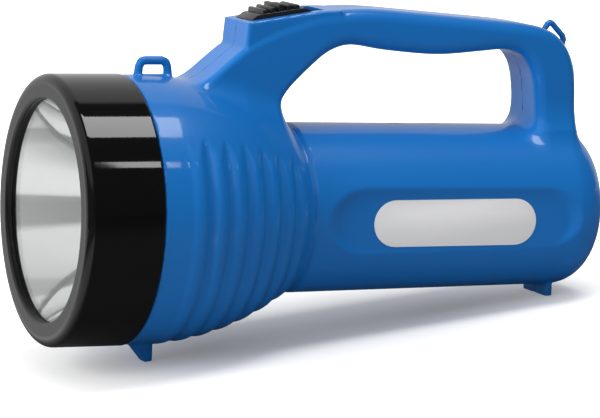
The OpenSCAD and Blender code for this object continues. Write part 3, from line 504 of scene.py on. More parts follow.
def rib_depth(d, y, z):
    """How far the surface sinks between ribs, and with a minus how far it stands out on them."""
    along = BELL_R * np.arcsin(np.clip((d - BELL_START) / BELL_R, -0.99, 0.99))
    turn = (along - rib_first) / RIB_PITCH
    dip = np.abs(np.sin(np.pi * turn)) ** RIB_SHARPNESS
    between = (turn > 0) & (turn < RIB_COUNT - 1)
    on_ribs = np.abs(turn - (RIB_COUNT - 1) / 2) < RIB_COUNT / 2
    wave = np.where(between, dip - RIB_STAND, -RIB_STAND * (1 - dip)) * on_ribs
    lift = np.degrees(np.arctan2(z, np.abs(y) + 1e-6))
    ends = np.clip((RIB_END + 4 * dip - lift) / RIB_FADE, 0, 1)
    height = RIB_H * (1 - 0.5 * np.clip(-lift / 65, 0, 1))
    return height * wave * ends * ends * (3 - 2 * ends)


GRIP_HALF = 14.5
ROUND_D, ROUND_R = (72, 96, 118, 200, 226), (2.4, 3.2, 5.2, 5.2, 4.2)
FILLET_D, FILLET_K = (50, 60, 80, 110, 190, 205, 236), (5, 5, 10, 8, 7, 9, 4)
FRONT_SPREAD, REAR_SPREAD = 8.5, 3.0
HOUSING_MID, HOUSING_HALVES, HOUSING_CORNER, HOUSING_EDGE = 106, (24.6, 11.6), 2.2, 1.1
FRONT_EYE_R, REAR_EYE_R, FRONT_FOOT_HALF, REAR_FOOT_HALF, FOOT_EDGE = 1.75, 1.3, 3.0, 11.0, 0.4


def plain_form(d, y, z):
    """The body without ribs, panel, eyes and feet."""
    r = np.hypot(y, z)
    # The handle's legs widen downwards, towards the body.
    front_spread = FRONT_SPREAD * np.clip((50 - z) / 22, 0, 1) ** 2 * np.clip((118 - d) / 14, 0, 1)
    rear_spread = REAR_SPREAD * np.clip((46 - z) / 13, 0, 1) ** 2 * np.clip((d - 190) / 10, 0, 1)
    half = GRIP_HALF + front_spread + rear_spread
    handle = rounded(handle_form(d, z), np.abs(y) - half, np.interp(d, ROUND_D, ROUND_R))
    fillet = np.interp(d, FILLET_D, FILLET_K)
    form = smooth_low(turned_form(d, r), handle, fillet)
    plan = box_distance((d - HOUSING_MID, y), HOUSING_HALVES) - HOUSING_CORNER
    housing = rounded(housing_form(d, z), plan, HOUSING_EDGE)
    return smooth_low(form, housing, 1.0)


def panel_form(d, y, z):
    """The space of the pressed side panel, with sloping walls."""
    flat = np.hypot(np.maximum(np.abs(d - PANEL_D) - PANEL_HALF, 0), z - PANEL_Z) - PANEL_R
    wall = (flat + PANEL_INSET - PANEL_SLOPE * (np.abs(y) - PANEL_Y)) / math.hypot(1, PANEL_SLOPE)
    return smooth_high(wall, PANEL_Y - np.abs(y), 0.9)


def outer_form(d, y, z):
    """The outside of both half shells."""
    form = plain_form(d, y, z)
    near_bell = (d > 38) & (d < 112)
    form = form + np.where(near_bell, rib_depth(d, y, z), 0)
    form = smooth_high(form, -panel_form(d, y, z), 0.8)
    pad = box_distance((d - 45.4, y, z - 52.7), (6.4, 1.4, 0.9)) - 1.4
    front_eye = smooth_low(rod_distance(front_eye_rod, FRONT_EYE_R, d, y, z), pad, 1.0)
    form = smooth_low(form, front_eye, 0.8)
    form = smooth_low(form, rod_distance(rear_eye_rod, REAR_EYE_R, d, y, z), 1.0)
    for foot, foot_half in ((front_foot_form, FRONT_FOOT_HALF), (rear_foot_form, REAR_FOOT_HALF)):
        form = smooth_low(form, rounded(foot(d, z), np.abs(y) - foot_half, FOOT_EDGE), 0.8)
    return form


print("ribs start", round(rib_first, 2), "mm along the bell")

# %% [markdown]
# A real shell is hollow, so a second form inside it is taken away, and a collar is left at the front for
# the bezel. The turned outline ends on the beam axis, which counts as a surface too, so the hollow is also
# opened along that axis. The right half carries the screw wells. Each half stops just short of the middle,
# and that hair of a gap is the parting line.

# %% One half shell
WALL, PANEL_WALL, PARTING = 2.8, 2.2, 0.01
COLLAR_R, COLLAR_BORE, COLLAR_FRONT, COLLAR_MID = 51.2, 47.6, 7.9, 21.0
HEAD_SPAN, CORE_R, CORE_SPAN = (5.0, 45.0), 15.0, (39.9, BODY_LEN - WALL)
screw_spots = [(88.6, -33.0), (133.3, -27.5), (197.3, -27.5), (79.0, 52.7), (167.0, 73.3), (221.75, 51.7)]
SCREW_SEAT, WELL_R, BOSS_R = 5.0, 3.2, 4.7
rear_holes, REAR_HOLE_D = ((-7.0, 4.15), (9.0, 1.65)), 225


def drum(d, r, radius, span):
    """Distance to a drum round the beam between two places along it."""
    return np.maximum(r - radius, np.abs(d - sum(span) / 2) - (span[1] - span[0]) / 2)


def half_shell(side):
    """The distance to one half shell, left where side is 1 and right where it is -1."""
    def distance(x, y, z):
        d = -x
        r = np.hypot(y, z)
        outside = outer_form(d, y, z)
        hollow = np.maximum(plain_form(d, y, z) + WALL, PANEL_WALL - panel_form(d, y, z))
        hollow = np.minimum(hollow, drum(d, r, COLLAR_BORE, HEAD_SPAN))
        hollow = np.minimum(hollow, drum(d, r, CORE_R, CORE_SPAN))
        shell = np.maximum(outside, -hollow)
        collar = np.maximum(np.abs(r - (COLLAR_R + COLLAR_BORE) / 2) - (COLLAR_R - COLLAR_BORE) / 2,
                            np.abs(d - COLLAR_MID) - (COLLAR_MID - COLLAR_FRONT))
        shell = np.minimum(shell, collar)
        if side < 0:
            for spot_d, spot_z in screw_spots:
                boss = np.hypot(d - spot_d, z - spot_z)
                shell = np.minimum(shell, np.maximum(boss - BOSS_R, outside))
                well = np.maximum(boss - WELL_R, SCREW_SEAT + y)
                shell = np.maximum(shell, -well)
        slope, lift = switch_frame_place(d, z)
        slot = box_distance((slope - (SLOT_FRONT + SLOT_BACK) / 2, y, lift - SLOT_MID),
                            ((SLOT_FRONT - SLOT_BACK) / 2, SLOT_HALF, SLOT_REACH))
        shell = np.maximum(shell, -slot)
        for hole_z, hole_r in rear_holes:
            shell = np.maximum(shell, -np.maximum(np.hypot(y, z - hole_z) - hole_r, REAR_HOLE_D - d))
        return smooth_high(shell, PARTING - side * y, 0.06)
    return distance


print("half shell wall", WALL, "mm, screw wells", len(screw_spots))

# %% [markdown]
# To turn a distance into a mesh, a grid of points is tested. Wherever the sign changes along a grid edge,
# the surface passes, and the four cells round that edge are joined by a face. Each cell's vertex is put
# where the tangent planes of its crossings meet, so that edges stay crisp. The distance's own slope gives
# exact normals, which keeps the gloss free of ripples.

# %% Mesh of a distance


def slope_of(distance, p, reach=0.04):
    """Unit slope of a distance at points."""
    found = np.empty_like(p)
    for axis in range(3):
        step = np.zeros(3)
        step[axis] = reach
        found[:, axis] = distance(*(p + step).T) - distance(*(p - step).T)
    return found / np.maximum(np.linalg.norm(found, axis=1, keepdims=True), 1e-9)


def sampled(distance, low, counts, step):
    """The distance on a grid, worked out in slabs."""
    field = np.empty(counts)
    across, upward = (low[i] + step * np.arange(counts[i]) for i in (1, 2))
    y, z = np.meshgrid(across, upward, indexing="ij")
    for start in range(0, counts[0], 8):
        x = low[0] + step * np.arange(start, min(start + 8, counts[0]))
        field[start:start + 8] = distance(x[:, None, None], y[None], z[None])
    return field


def mesh_points(distance, low, high, step):
    """Vertices and four-sided faces of the surface where a distance is zero."""
    low = np.asarray(low, float)
    counts = tuple(int(n) for n in np.ceil((np.asarray(high) - low) / step) + 1)
    field = sampled(distance, low, counts, step)
    cells = tuple(n - 1 for n in counts)
    cell_ids, places, normals, loops = [], [], [], []
    for axis in range(3):
        first = np.take(field, range(counts[axis] - 1), axis)
        second = np.take(field, range(1, counts[axis]), axis)
        at = np.argwhere((first < 0) != (second < 0))
        u, v = (axis + 1) % 3, (axis + 2) % 3
        at = at[(at[:, u] > 0) & (at[:, v] > 0) & (at[:, u] < cells[u]) & (at[:, v] < cells[v])]
        f0, f1 = first[tuple(at.T)], second[tuple(at.T)]
        p = low + step * at
        start = p[:, axis].copy()
        p[:, axis] += step * f0 / (f0 - f1)
        for _ in range(2):
            move = distance(*p.T) * step / (f1 - f0)
            p[:, axis] = np.clip(p[:, axis] - move, start, start + step)
        n = slope_of(distance, p)
        around = np.repeat(at[:, None], 4, axis=1)
        around[:, 1:3, u] -= 1
        around[:, 2:4, v] -= 1
        ids = np.ravel_multi_index(tuple(np.moveaxis(around, 2, 0)), cells)
        loops.append(np.where((f0 < 0)[:, None], ids, ids[:, ::-1]))
        cell_ids.append(ids.ravel())
        places.append(np.repeat(p, 4, axis=0))
        normals.append(np.repeat(n, 4, axis=0))
    used, slot_of = np.unique(np.concatenate(cell_ids), return_inverse=True)
    p, n = np.concatenate(places), np.concatenate(normals)
    total = np.bincount(slot_of)

    def gathered(values):
        return np.bincount(slot_of, values)
    middle = np.stack([gathered(p[:, i]) / total for i in range(3)], 1)
    offset = np.sum(n * (p - middle[slot_of]), axis=1)
    pull = np.stack([gathered(n[:, i] * offset) for i in range(3)], 1)
    spread = np.empty((len(used), 3, 3))
    for i in range(3):
        for j in range(3):
            spread[:, i, j] = gathered(n[:, i] * n[:, j]) + (0.06 * total if i == j else 0)
    shift = np.linalg.solve(spread, pull[:, :, None])[:, :, 0]
    corner = low + step * np.stack(np.unravel_index(used, cells), 1)
    vertices = np.clip(middle + shift, corner - 0.05 * step, corner + 1.05 * step)
    return vertices, np.searchsorted(used, np.concatenate(loops))


print("mesher ready")

# %% [markdown]
# The faces become a Blender mesh with its own corner normals, read a little inside each face so that a
# crisp edge keeps two different normals.

# %% Half shells


def finish_piece(piece, body, material_slot, *replaced):
    """A piece takes its finish and its CAD nodes' place, and rides on a body."""
    if not piece.data.materials:
        piece.data.materials.append(finishes[material_slot])
    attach(piece, body)
    if replaced:
        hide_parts(*replaced)
    return piece


def add_object(name, mesh):
    piece = bpy.data.objects.new(name, mesh)
    bpy.context.scene.collection.objects.link(piece)
    return piece


def formed_piece(name, distance, low, high, step):
    """An object whose surface is where a distance is zero."""
    vertices, faces = mesh_points(distance, low, high, step)
    mesh = bpy.data.meshes.new(name)
    mesh.from_pydata(to_row(vertices).tolist(), [], faces.tolist())
    mesh.shade_smooth()
    corners = vertices[faces]
    inside = corners + 0.25 * (corners.mean(axis=1, keepdims=True) - corners)
    normals = slope_of(distance, inside.reshape(-1, 3))
    mesh.normals_split_custom_set(turn_to_row(normals).tolist())
    print(name, "vertices", len(vertices), "faces", len(faces))
    return add_object(name, mesh)


shell_step = 1.08
for side, half_name in ((1, "body_left"), (-1, "body_right")):
    low_y, high_y = (-1.3, 56.5) if side > 0 else (-56.5, 1.3)
    box_low, box_high = (-244, low_y, -65), (-4.5, high_y, 87)
    half = formed_piece(half_name + "_shell", half_shell(side), box_low, box_high, shell_step)
    finish_piece(half, "body", "body_blue", half_name)

# %% [markdown]
# ## Turned pieces
# Bezel, lens and reflector are turned: a half outline swept round the beam. One Geometry Nodes tree does
# it for all of them. It lays out a grid, one row for each step round, and moves every point to its place
# on the outline, which comes in as a row of points.

# %% Turning tree


def close_tree(tree, enter, leave, geometry):
    """Ends a Geometry Nodes tree with plain geometry and its finish, at the tree's one output."""
    real = make_node(tree, "GeometryNodeRealizeInstances", {"Geometry": geometry})
    finish = {"Geometry": real.outputs["Geometry"], "Material": enter.outputs["Finish"]}
    link(tree, make_node(tree, "GeometryNodeSetMaterial", finish).outputs["Geometry"], leave.inputs[0])
    return tree


def make_turning_tree():
    """Geometry Nodes: turns an outline of points (place along the beam, radius) round the beam."""
    inputs = {"Outline": ("Geometry", None), "Steps Round": ("Int", 128), "Finish": ("Material", None)}
    tree, enter, leave = new_tree("turned_round", "GeometryNodeTree", inputs, {"Piece": "Geometry"})
    outline, steps = enter.outputs["Outline"], enter.outputs["Steps Round"]
    count = make_node(tree, "GeometryNodeAttributeDomainSize", {"Geometry": outline}).outputs["Point Count"]
    sides = {"Vertices X": math_node(tree, "ADD", steps, 1), "Vertices Y": count}
    grid = make_node(tree, "GeometryNodeMeshGrid", sides)
    index = tree.nodes.new("GeometryNodeInputIndex").outputs["Index"]
    row = math_node(tree, "FLOOR", math_node(tree, "DIVIDE", index, count))
    column = math_node(tree, "MODULO", index, count)
    point = tree.nodes.new("GeometryNodeInputPosition").outputs["Position"]
    asked = {"Geometry": outline, "Value": point, "Index": column}
    sample = make_node(tree, "GeometryNodeSampleIndex", asked, data_type="FLOAT_VECTOR")
    parts = make_node(tree, "ShaderNodeSeparateXYZ", {"Vector": sample.outputs["Value"]})
    angle = math_node(tree, "MULTIPLY", math_node(tree, "DIVIDE", row, steps), 2 * math.pi)
    across = math_node(tree, "MULTIPLY", parts.outputs["Y"], math_node(tree, "COSINE", angle))
    upward = math_node(tree, "MULTIPLY", parts.outputs["Y"], math_node(tree, "SINE", angle))
    place = make_node(tree, "ShaderNodeCombineXYZ", {"X": parts.outputs["X"], "Y": across, "Z": upward})
    moved = {"Geometry": grid.outputs["Mesh"], "Position": place.outputs["Vector"]}
    move = make_node(tree, "GeometryNodeSetPosition", moved)
    seam = {"Geometry": move.outputs["Geometry"], "Distance": 1e-3}
    weld = make_node(tree, "GeometryNodeMergeByDistance", seam)
    return close_tree(tree, enter, leave, weld.outputs["Geometry"])


def grown_mesh(name, start_mesh, tree, **values):
    """Runs a Geometry Nodes tree on a mesh and keeps the result as a plain mesh."""
    carrier = add_object(name + "_start", start_mesh)
    modifier = carrier.modifiers.new("grow", "NODES")
    modifier.node_group = tree
    for item in tree.interface.items_tree:
        key = item.name.replace(" ", "_").lower()
        if item.in_out == "INPUT" and key in values:
            modifier[item.identifier] = values[key]
    depsgraph = bpy.context.evaluated_depsgraph_get()
    mesh = bpy.data.meshes.new_from_object(carrier.evaluated_get(depsgraph))
    mesh.name = name
    bpy.data.objects.remove(carrier)
    return mesh


def tidy_normals(mesh, crease=35.0):
    """Turns faces outwards and leaves edges sharper than the crease crisp."""
    work = bmesh.new()
    work.from_mesh(mesh)
    bmesh.ops.remove_doubles(work, verts=work.verts, dist=1e-6)
    bmesh.ops.recalc_face_normals(work, faces=work.faces)
    work.to_mesh(mesh)
    work.free()
    mesh.shade_smooth()
    mesh.set_sharp_from_angle(angle=math.radians(crease))
    return mesh


def place_beam_mesh(mesh):
    """Moves a mesh drawn in the beam frame, in millimetres, to its place in the row frame."""
    flat = np.empty(len(mesh.vertices) * 3)
    mesh.vertices.foreach_get("co", flat)
    mesh.vertices.foreach_set("co", to_row(flat.reshape(-1, 3)).ravel())
    mesh.update()
    return mesh


turning_tree = make_turning_tree()


def turned_mesh(name, outline, material_slot, steps=144):
    """A turned piece from an outline of (distance behind the front, radius)."""
    start = bpy.data.meshes.new(name + "_outline")
    start.from_pydata([(-d, r, 0) for d, r in outline], [], [])
    mesh = grown_mesh(name, start, turning_tree, steps_round=steps, finish=finishes[material_slot])
    return tidy_normals(place_beam_mesh(mesh))


def bow(centre, r, start, end, steps=8):
    """Points on a round edge between two angles, in degrees."""
    return [(centre[0] + r * math.cos(math.radians(a)), centre[1] + r * math.sin(math.radians(a)))
            for a in np.linspace(start, end, steps + 1)]


print("turning tree nodes", len(turning_tree.nodes))

# %% [markdown]
# The bezel is the eye-catcher: a gloss black ring with a full round front edge, a soft inner lip and a
# tiny chamfer where it meets the blue body. Its outline is a closed loop, so the first point is repeated.

# %% Bezel, lens and reflector
BEZEL_R, BEZEL_LEN, BEZEL_ROUND, OPENING_R, LIP, BORE_R = 55.0, 32.0, 3.4, 45.0, 2.6, 51.6
LENS_R, LENS_BACK, LENS_EDGE, LENS_SEAT_R, SHOULDER_D = 48.4, 5.0, 0.3, 48.55, 6.1
bezel_outline = (bow((1.3, OPENING_R + 1.3), 1.3, 270, 180)
                 + [(0, OPENING_R + 1.6), (0, BEZEL_R - BEZEL_ROUND - 0.3)]
                 + bow((BEZEL_ROUND, BEZEL_R - BEZEL_ROUND), BEZEL_ROUND, 180, 90, 14)
                 + [(BEZEL_ROUND + 0.2, BEZEL_R), (BEZEL_LEN - 0.8, BEZEL_R)]
                 + bow((BEZEL_LEN - 0.6, BEZEL_R - 0.6), 0.6, 90, 0, 4)
                 + [(BEZEL_LEN, BORE_R + 0.3), (BEZEL_LEN - 0.3, BORE_R), (SHOULDER_D, BORE_R),
                    (SHOULDER_D, LENS_SEAT_R), (LIP, LENS_SEAT_R), (LIP, OPENING_R)])
bezel_mesh = turned_mesh("bezel_ring", bezel_outline + bezel_outline[:1], "bezel_black", 192)
bezel = add_object("bezel_ring", bezel_mesh)
finish_piece(bezel, "bezel_ring", "bezel_black", "bezel")

lens_rim_r = LENS_R - LENS_EDGE
lens_outline = ([(LIP, 0), (LIP, 20), (LIP, 44)] + bow((LIP + LENS_EDGE, lens_rim_r), LENS_EDGE, 180, 90, 3)
                + bow((LENS_BACK - LENS_EDGE, lens_rim_r), LENS_EDGE, 90, 0, 3)
                + [(LENS_BACK, 44), (LENS_BACK, 20), (LENS_BACK, 0)])
lens = add_object("lens_disc", turned_mesh("lens_disc", lens_outline, "lens_clear"))
finish_piece(lens, "bezel_ring", "lens_clear", "lens")

REFLECTOR_FRONT, REFLECTOR_DEPTH, NECK_HOLE, REFLECTOR_WALL, FLANGE_R = 6.1, 58.9, 9.0, 1.6, 50.8
focal = OPENING_R ** 2 / (4 * REFLECTOR_DEPTH)
vertex = REFLECTOR_FRONT + REFLECTOR_DEPTH
flange_back = REFLECTOR_FRONT + REFLECTOR_WALL
bowl = [(vertex - r * r / (4 * focal), r) for r in np.linspace(OPENING_R, NECK_HOLE, 40)]
bowl_back = [(d, r + REFLECTOR_WALL) for d, r in reversed(bowl) if d > flange_back]
flange = [(flange_back, OPENING_R + REFLECTOR_WALL), (flange_back, FLANGE_R), (REFLECTOR_FRONT, FLANGE_R)]
bowl_mesh = turned_mesh("reflector_bowl", bowl + bowl_back + flange + bowl[:1], "reflector_bright", 192)
reflector = add_object("reflector_bowl", bowl_mesh)
finish_piece(reflector, "body", "reflector_bright", "reflector")
for turned_piece in (bezel, lens, reflector):
    print(turned_piece.name, "faces", len(turned_piece.data.polygons))

# %% [markdown]
# ## Thumb switch
# The knob is a low wedge with five cross ribs, the middle one highest. The wedge is a bevelled block, and
# a Geometry Nodes tree sets the ribs: one bar is copied along a line, and each copy's height follows how
# far it stands from the middle.

# %% Rib tree


def make_rib_tree():
    """Geometry Nodes: a row of bars along X, tallest in the middle."""
    inputs = {"Bar": ("Geometry", None), "Count": ("Int", 5), "Pitch": ("Float", 3.5),
              "Middle Height": ("Float", 1.0), "Height Drop": ("Float", 0.2), "Finish": ("Material", None)}
    tree, enter, leave = new_tree("thumb_ribs", "GeometryNodeTree", inputs, {"Ribs": "Geometry"})
    count, pitch = enter.outputs["Count"], enter.outputs["Pitch"]
    half = math_node(tree, "DIVIDE", math_node(tree, "SUBTRACT", count, 1), 2)
    first = math_node(tree, "MULTIPLY", math_node(tree, "MULTIPLY", half, pitch), -1)
    start = make_node(tree, "ShaderNodeCombineXYZ", {"X": first}).outputs["Vector"]
    offset = make_node(tree, "ShaderNodeCombineXYZ", {"X": pitch}).outputs["Vector"]
    spaced = {"Count": count, "Start Location": start, "Offset": offset}
    line = make_node(tree, "GeometryNodeMeshLine", spaced)
    index = tree.nodes.new("GeometryNodeInputIndex").outputs["Index"]
    away = math_node(tree, "ABSOLUTE", math_node(tree, "SUBTRACT", index, half))
    drop = math_node(tree, "MULTIPLY", math_node(tree, "MINIMUM", away, 1.4), enter.outputs["Height Drop"])
    tall = math_node(tree, "SUBTRACT", enter.outputs["Middle Height"], drop)
    scale = make_node(tree, "ShaderNodeCombineXYZ", {"X": 1.0, "Y": 1.0, "Z": tall}).outputs["Vector"]
    copied = {"Points": line.outputs["Mesh"], "Instance": enter.outputs["Bar"], "Scale": scale}
    copies = make_node(tree, "GeometryNodeInstanceOnPoints", copied)
    return close_tree(tree, enter, leave, copies.outputs["Instances"])


def kept_mesh(work, name):
    """A mesh from a bmesh, which is freed."""
    mesh = bpy.data.meshes.new(name)
    work.to_mesh(mesh)
    work.free()
    return mesh


def block_mesh(name, outline, half_width, bevel, segments=3):
    """A block with a side outline of (x, z), a width across, and all its edges rounded."""
    work = bmesh.new()
    near = [work.verts.new((x, -half_width, z)) for x, z in outline]
    far = [work.verts.new((x, half_width, z)) for x, z in outline]
    work.faces.new(near)
    work.faces.new(far[::-1])
    for i in range(len(outline)):
        j = (i + 1) % len(outline)
        work.faces.new((near[i], far[i], far[j], near[j]))
    bmesh.ops.recalc_face_normals(work, faces=work.faces)
    bmesh.ops.bevel(work, geom=work.edges[:], offset=bevel, segments=segments, profile=0.5, affect="EDGES",
                    clamp_overlap=True)
    return kept_mesh(work, name)


rib_tree = make_rib_tree()
print("rib tree nodes", len(rib_tree.nodes))

# %% Thumb knob
KNOB_HALF, KNOB_END, KNOB_TOP, KNOB_BASE, KNOB_EDGE = 8.3, 13.5, 10.3, -2.9, 0.15
KNOB_PITCH, KNOB_H, RIB_ROOT = 3.55, 4.7, 0.3
valley = 0.38 * KNOB_H
knob_back = [(-KNOB_END, KNOB_BASE), (-KNOB_END, KNOB_EDGE), (-KNOB_TOP, valley)]
knob_outline = knob_back + [(-x, z) for x, z in reversed(knob_back)]
knob_block = block_mesh("knob_block", knob_outline, KNOB_HALF, 0.35)
bar = block_mesh("knob_bar", [(-1.25, 0), (-0.85, 1), (0.85, 1), (1.25, 0)], KNOB_HALF - 0.1, 0.3)
knob_ribs = grown_mesh("knob_ribs", bar, rib_tree, count=5, pitch=KNOB_PITCH, height_drop=0.85,
                       middle_height=KNOB_H - valley + RIB_ROOT, finish=finishes["knob_black"])


def joined_mesh(name, *parts):
    """One mesh from several, each with a shift."""
    work = bmesh.new()
    for mesh, shift in parts:
        before = len(work.verts)
        work.from_mesh(mesh)
        work.verts.ensure_lookup_table()
        bmesh.ops.translate(work, verts=work.verts[before:], vec=shift)
    return kept_mesh(work, name)


knob_mesh = joined_mesh("thumb_knob", (knob_block, (0, 0, 0)), (knob_ribs, (0, 0, valley - RIB_ROOT)))
knob_mesh.transform(Matrix.Translation((-SWITCH_D, 0, SWITCH_Z)) @ Matrix.Rotation(SWITCH_SLOPE, 4, "Y"))
knob = add_object("thumb_knob", tidy_normals(place_beam_mesh(knob_mesh), 40))
finish_piece(knob, "switch_slider", "knob_black", "switch_knob")
print("thumb knob faces", len(knob.data.polygons))

# %% [markdown]
# ## Label plates
# A blank, light grey plate with round ends sits in each side panel. Its rim is rounded so that a thin
# line of light runs round it.

# %% Label plates


def stadium_points(length, height, steps=16):
    """Points round a plate with round ends."""
    half, r = (length - height) / 2, height / 2
    angles = np.linspace(-math.pi / 2, math.pi / 2, steps)
    right_end = [(half + r * math.cos(a), r * math.sin(a)) for a in angles]
    return right_end + [(-x, -z) for x, z in right_end]


LABEL_D, LABEL_LEN, LABEL_H, LABEL_T, LABEL_SINK = 169.05, 73.5, 19.3, 0.8, 0.25
label_y = PANEL_Y + LABEL_SINK / 2 - LABEL_T / 2
for side, label_name in ((1, "label_left"), (-1, "label_right")):
    flat = block_mesh(label_name, stadium_points(LABEL_LEN, LABEL_H), (LABEL_T + LABEL_SINK) / 2, 0.18, 2)
    flat.transform(Matrix.Translation((-LABEL_D, side * label_y, PANEL_Z)))
    plate = add_object(label_name + "_plate", tidy_normals(place_beam_mesh(flat)))
    finish_piece(plate, "body", "label_grey", label_name)
print("label plates made")

# %% [markdown]
# ## Body screws
# Six screws draw the halves together from the right side, deep in their wells. One pan-head screw with a
# cross recess is drawn, and a Geometry Nodes tree copies it to the six places.

# %% Screw tree


def make_screw_tree():
    """Geometry Nodes: copies a screw to every point."""
    inputs = {"Places": ("Geometry", None), "Screw": ("Object", None), "Turn Step": ("Float", 0.7),
              "Finish": ("Material", None)}
    tree, enter, leave = new_tree("screw_set", "GeometryNodeTree", inputs, {"Screws": "Geometry"})
    source = make_node(tree, "GeometryNodeObjectInfo", {"Object": enter.outputs["Screw"]}).outputs["Geometry"]
    index = tree.nodes.new("GeometryNodeInputIndex").outputs["Index"]
    angle = math_node(tree, "MULTIPLY", index, enter.outputs["Turn Step"])
    turn = make_node(tree, "ShaderNodeCombineXYZ", {"Y": angle}).outputs["Vector"]
    copied = {"Points": enter.outputs["Places"], "Instance": source, "Rotation": turn}
    copies = make_node(tree, "GeometryNodeInstanceOnPoints", copied)
    return close_tree(tree, enter, leave, copies.outputs["Instances"])


def screw_mesh(shank_r, shank_len, head_r, head_h):
    """A screw along +Y, head towards -Y, with a cross pressed into its head."""
    rings = [(shank_len, 0), (shank_len, shank_r * 0.6), (shank_len - 1, shank_r), (0, shank_r), (0, head_r),
             (-head_h * 0.45, head_r), (-head_h * 0.8, head_r * 0.82), (-head_h, head_r * 0.55), (-head_h, 0)]
    around = 24
    work = bmesh.new()
    rows = []
    for place, r in rings:
        angles = [2 * math.pi * i / around for i in range(around if r else 1)]
        rows.append([work.verts.new((r * math.cos(a), place, r * math.sin(a))) for a in angles])
    for a, b in zip(rows, rows[1:]):
        for i in range(around):
            j = (i + 1) % around
            corners = [a[i % len(a)], a[j % len(a)], b[j % len(b)], b[i % len(b)]]
            work.faces.new(list(dict.fromkeys(corners)))
    for i, v in enumerate(rows[-2]):
        if i % 6 in (0, 1, 5):
            v.co.y += head_h * 0.12
    rows[-1][0].co.y += head_h * 0.6
    bmesh.ops.recalc_face_normals(work, faces=work.faces)
    return kept_mesh(work, "screw")


screw_tree = make_screw_tree()
one_screw = add_object("one_screw", screw_mesh(shank_r=1.5, shank_len=14.0, head_r=2.9, head_h=2.2))
spots = bpy.data.meshes.new("screw_spots")
spots.from_pydata([(-d, -SCREW_SEAT, z) for d, z in screw_spots], [], [])
screws_mesh = grown_mesh("body_screw_set", spots, screw_tree, screw=one_screw, turn_step=0.7,
                         finish=finishes["steel"])
bpy.data.objects.remove(one_screw)
screws = add_object("body_screw_set", tidy_normals(place_beam_mesh(screws_mesh), 30))
finish_piece(screws, "body", "steel", "body_screws")
print("screws", len(screw_spots), "faces", len(screws.data.polygons))

# %% [markdown]
# ## Studio
# The lamp stands on a pale floor that glows white away from it and keeps its shadow. In a gloss, the far
# side of the room is a white backdrop and the near side is dim, so the gloss stays deep. The floor in front
# of the bezel is lit, and through the lens the near room is lighter, so the reflector is bright. Matt
# surfaces get an even light that is weaker from behind the lamp.

# %% Floor


def light_paths(tree):
    """Three masks, for rays from the camera, from a gloss and through glass."""
    path = tree.nodes.new("ShaderNodeLightPath")
    return [path.outputs["Is " + kind + " Ray"] for kind in ("Camera", "Glossy", "Transmission")]


FLOOR_REACH, FLOOR_Z = 15, -0.0002
FLOOR_WHITE, FLOOR_GREY, FLOOR_DIM, FLOOR_DARK = 0.88, 0.5, 0.1, 0.02
FRONT_GLOW, FRONT_FAR_GLOW, FAR_GLOW, NEAR_GLOW = 0.8, 0.12, 0.8, 0.12
floor_mesh = bpy.data.meshes.new("floor")
floor_corners = [(x * FLOOR_REACH, y * FLOOR_REACH, FLOOR_Z) for x, y in ((-1, -1), (1, -1), (1, 1), (-1, 1))]
floor_mesh.from_pydata(floor_corners, [], [(0, 1, 2, 3)])
floor = add_object("floor", floor_mesh)
floor_paint = bpy.data.materials.new("floor_white")
floor_paint.use_nodes = True
floor_tree = floor_paint.node_tree
floor_tree.nodes.clear()
spot = floor_tree.nodes.new("ShaderNodeTexCoord").outputs["Object"]
far = vector_node(floor_tree, "LENGTH", spot)["Value"]
spot_parts = make_node(floor_tree, "ShaderNodeSeparateXYZ", {"Vector": spot})
by_camera, by_gloss, by_glass = light_paths(floor_tree)
shade = ramp(floor_tree, by_camera, 0.0, 1.0, FLOOR_GREY, FLOOR_WHITE)
dimming = ramp(floor_tree, far, 0.12, 0.6, FLOOR_GREY - FLOOR_DIM, FLOOR_GREY - FLOOR_DARK)
gloss_dim = math_node(floor_tree, "MULTIPLY", by_gloss, dimming)
far_glow = ramp(floor_tree, far, 0.04, 0.3, NEAR_GLOW, 1.0)
far_side = ramp(floor_tree, spot_parts.outputs["Y"], -0.35, -0.02, FAR_GLOW, 0.0)
seen_far = math_node(floor_tree, "MULTIPLY", far, ramp(floor_tree, by_glass, 0.0, 1.0, 1.0, 0.55))
front_reach = ramp(floor_tree, seen_far, 0.25, 0.55, FRONT_GLOW, FRONT_FAR_GLOW)
front_side = ramp(floor_tree, spot_parts.outputs["X"], 0.12, 0.17, 0.0, 1.0)
lit_front = math_node(floor_tree, "MULTIPLY", front_side, front_reach)
lit_far = math_node(floor_tree, "MULTIPLY", far_glow, far_side)
mirrored = math_node(floor_tree, "MAXIMUM", by_gloss, by_glass)
lit = math_node(floor_tree, "MAXIMUM", lit_far, lit_front)
mirrored_glow = math_node(floor_tree, "MULTIPLY", mirrored, lit)
shown_glow = math_node(floor_tree, "MULTIPLY", by_camera, far_glow)
floor_glow = math_node(floor_tree, "MAXIMUM", shown_glow, mirrored_glow)
matt_shade = math_node(floor_tree, "SUBTRACT", shade, gloss_dim)
matt = make_node(floor_tree, "ShaderNodeBsdfDiffuse", {"Color": matt_shade})
glow = make_node(floor_tree, "ShaderNodeEmission", {"Strength": floor_glow})
both = make_node(floor_tree, "ShaderNodeAddShader", {0: matt.outputs["BSDF"], 1: glow.outputs["Emission"]})
make_node(floor_tree, "ShaderNodeOutputMaterial", {"Surface": both.outputs["Shader"]})
floor_mesh.materials.append(floor_paint)
print("floor reach", FLOOR_REACH, "m")

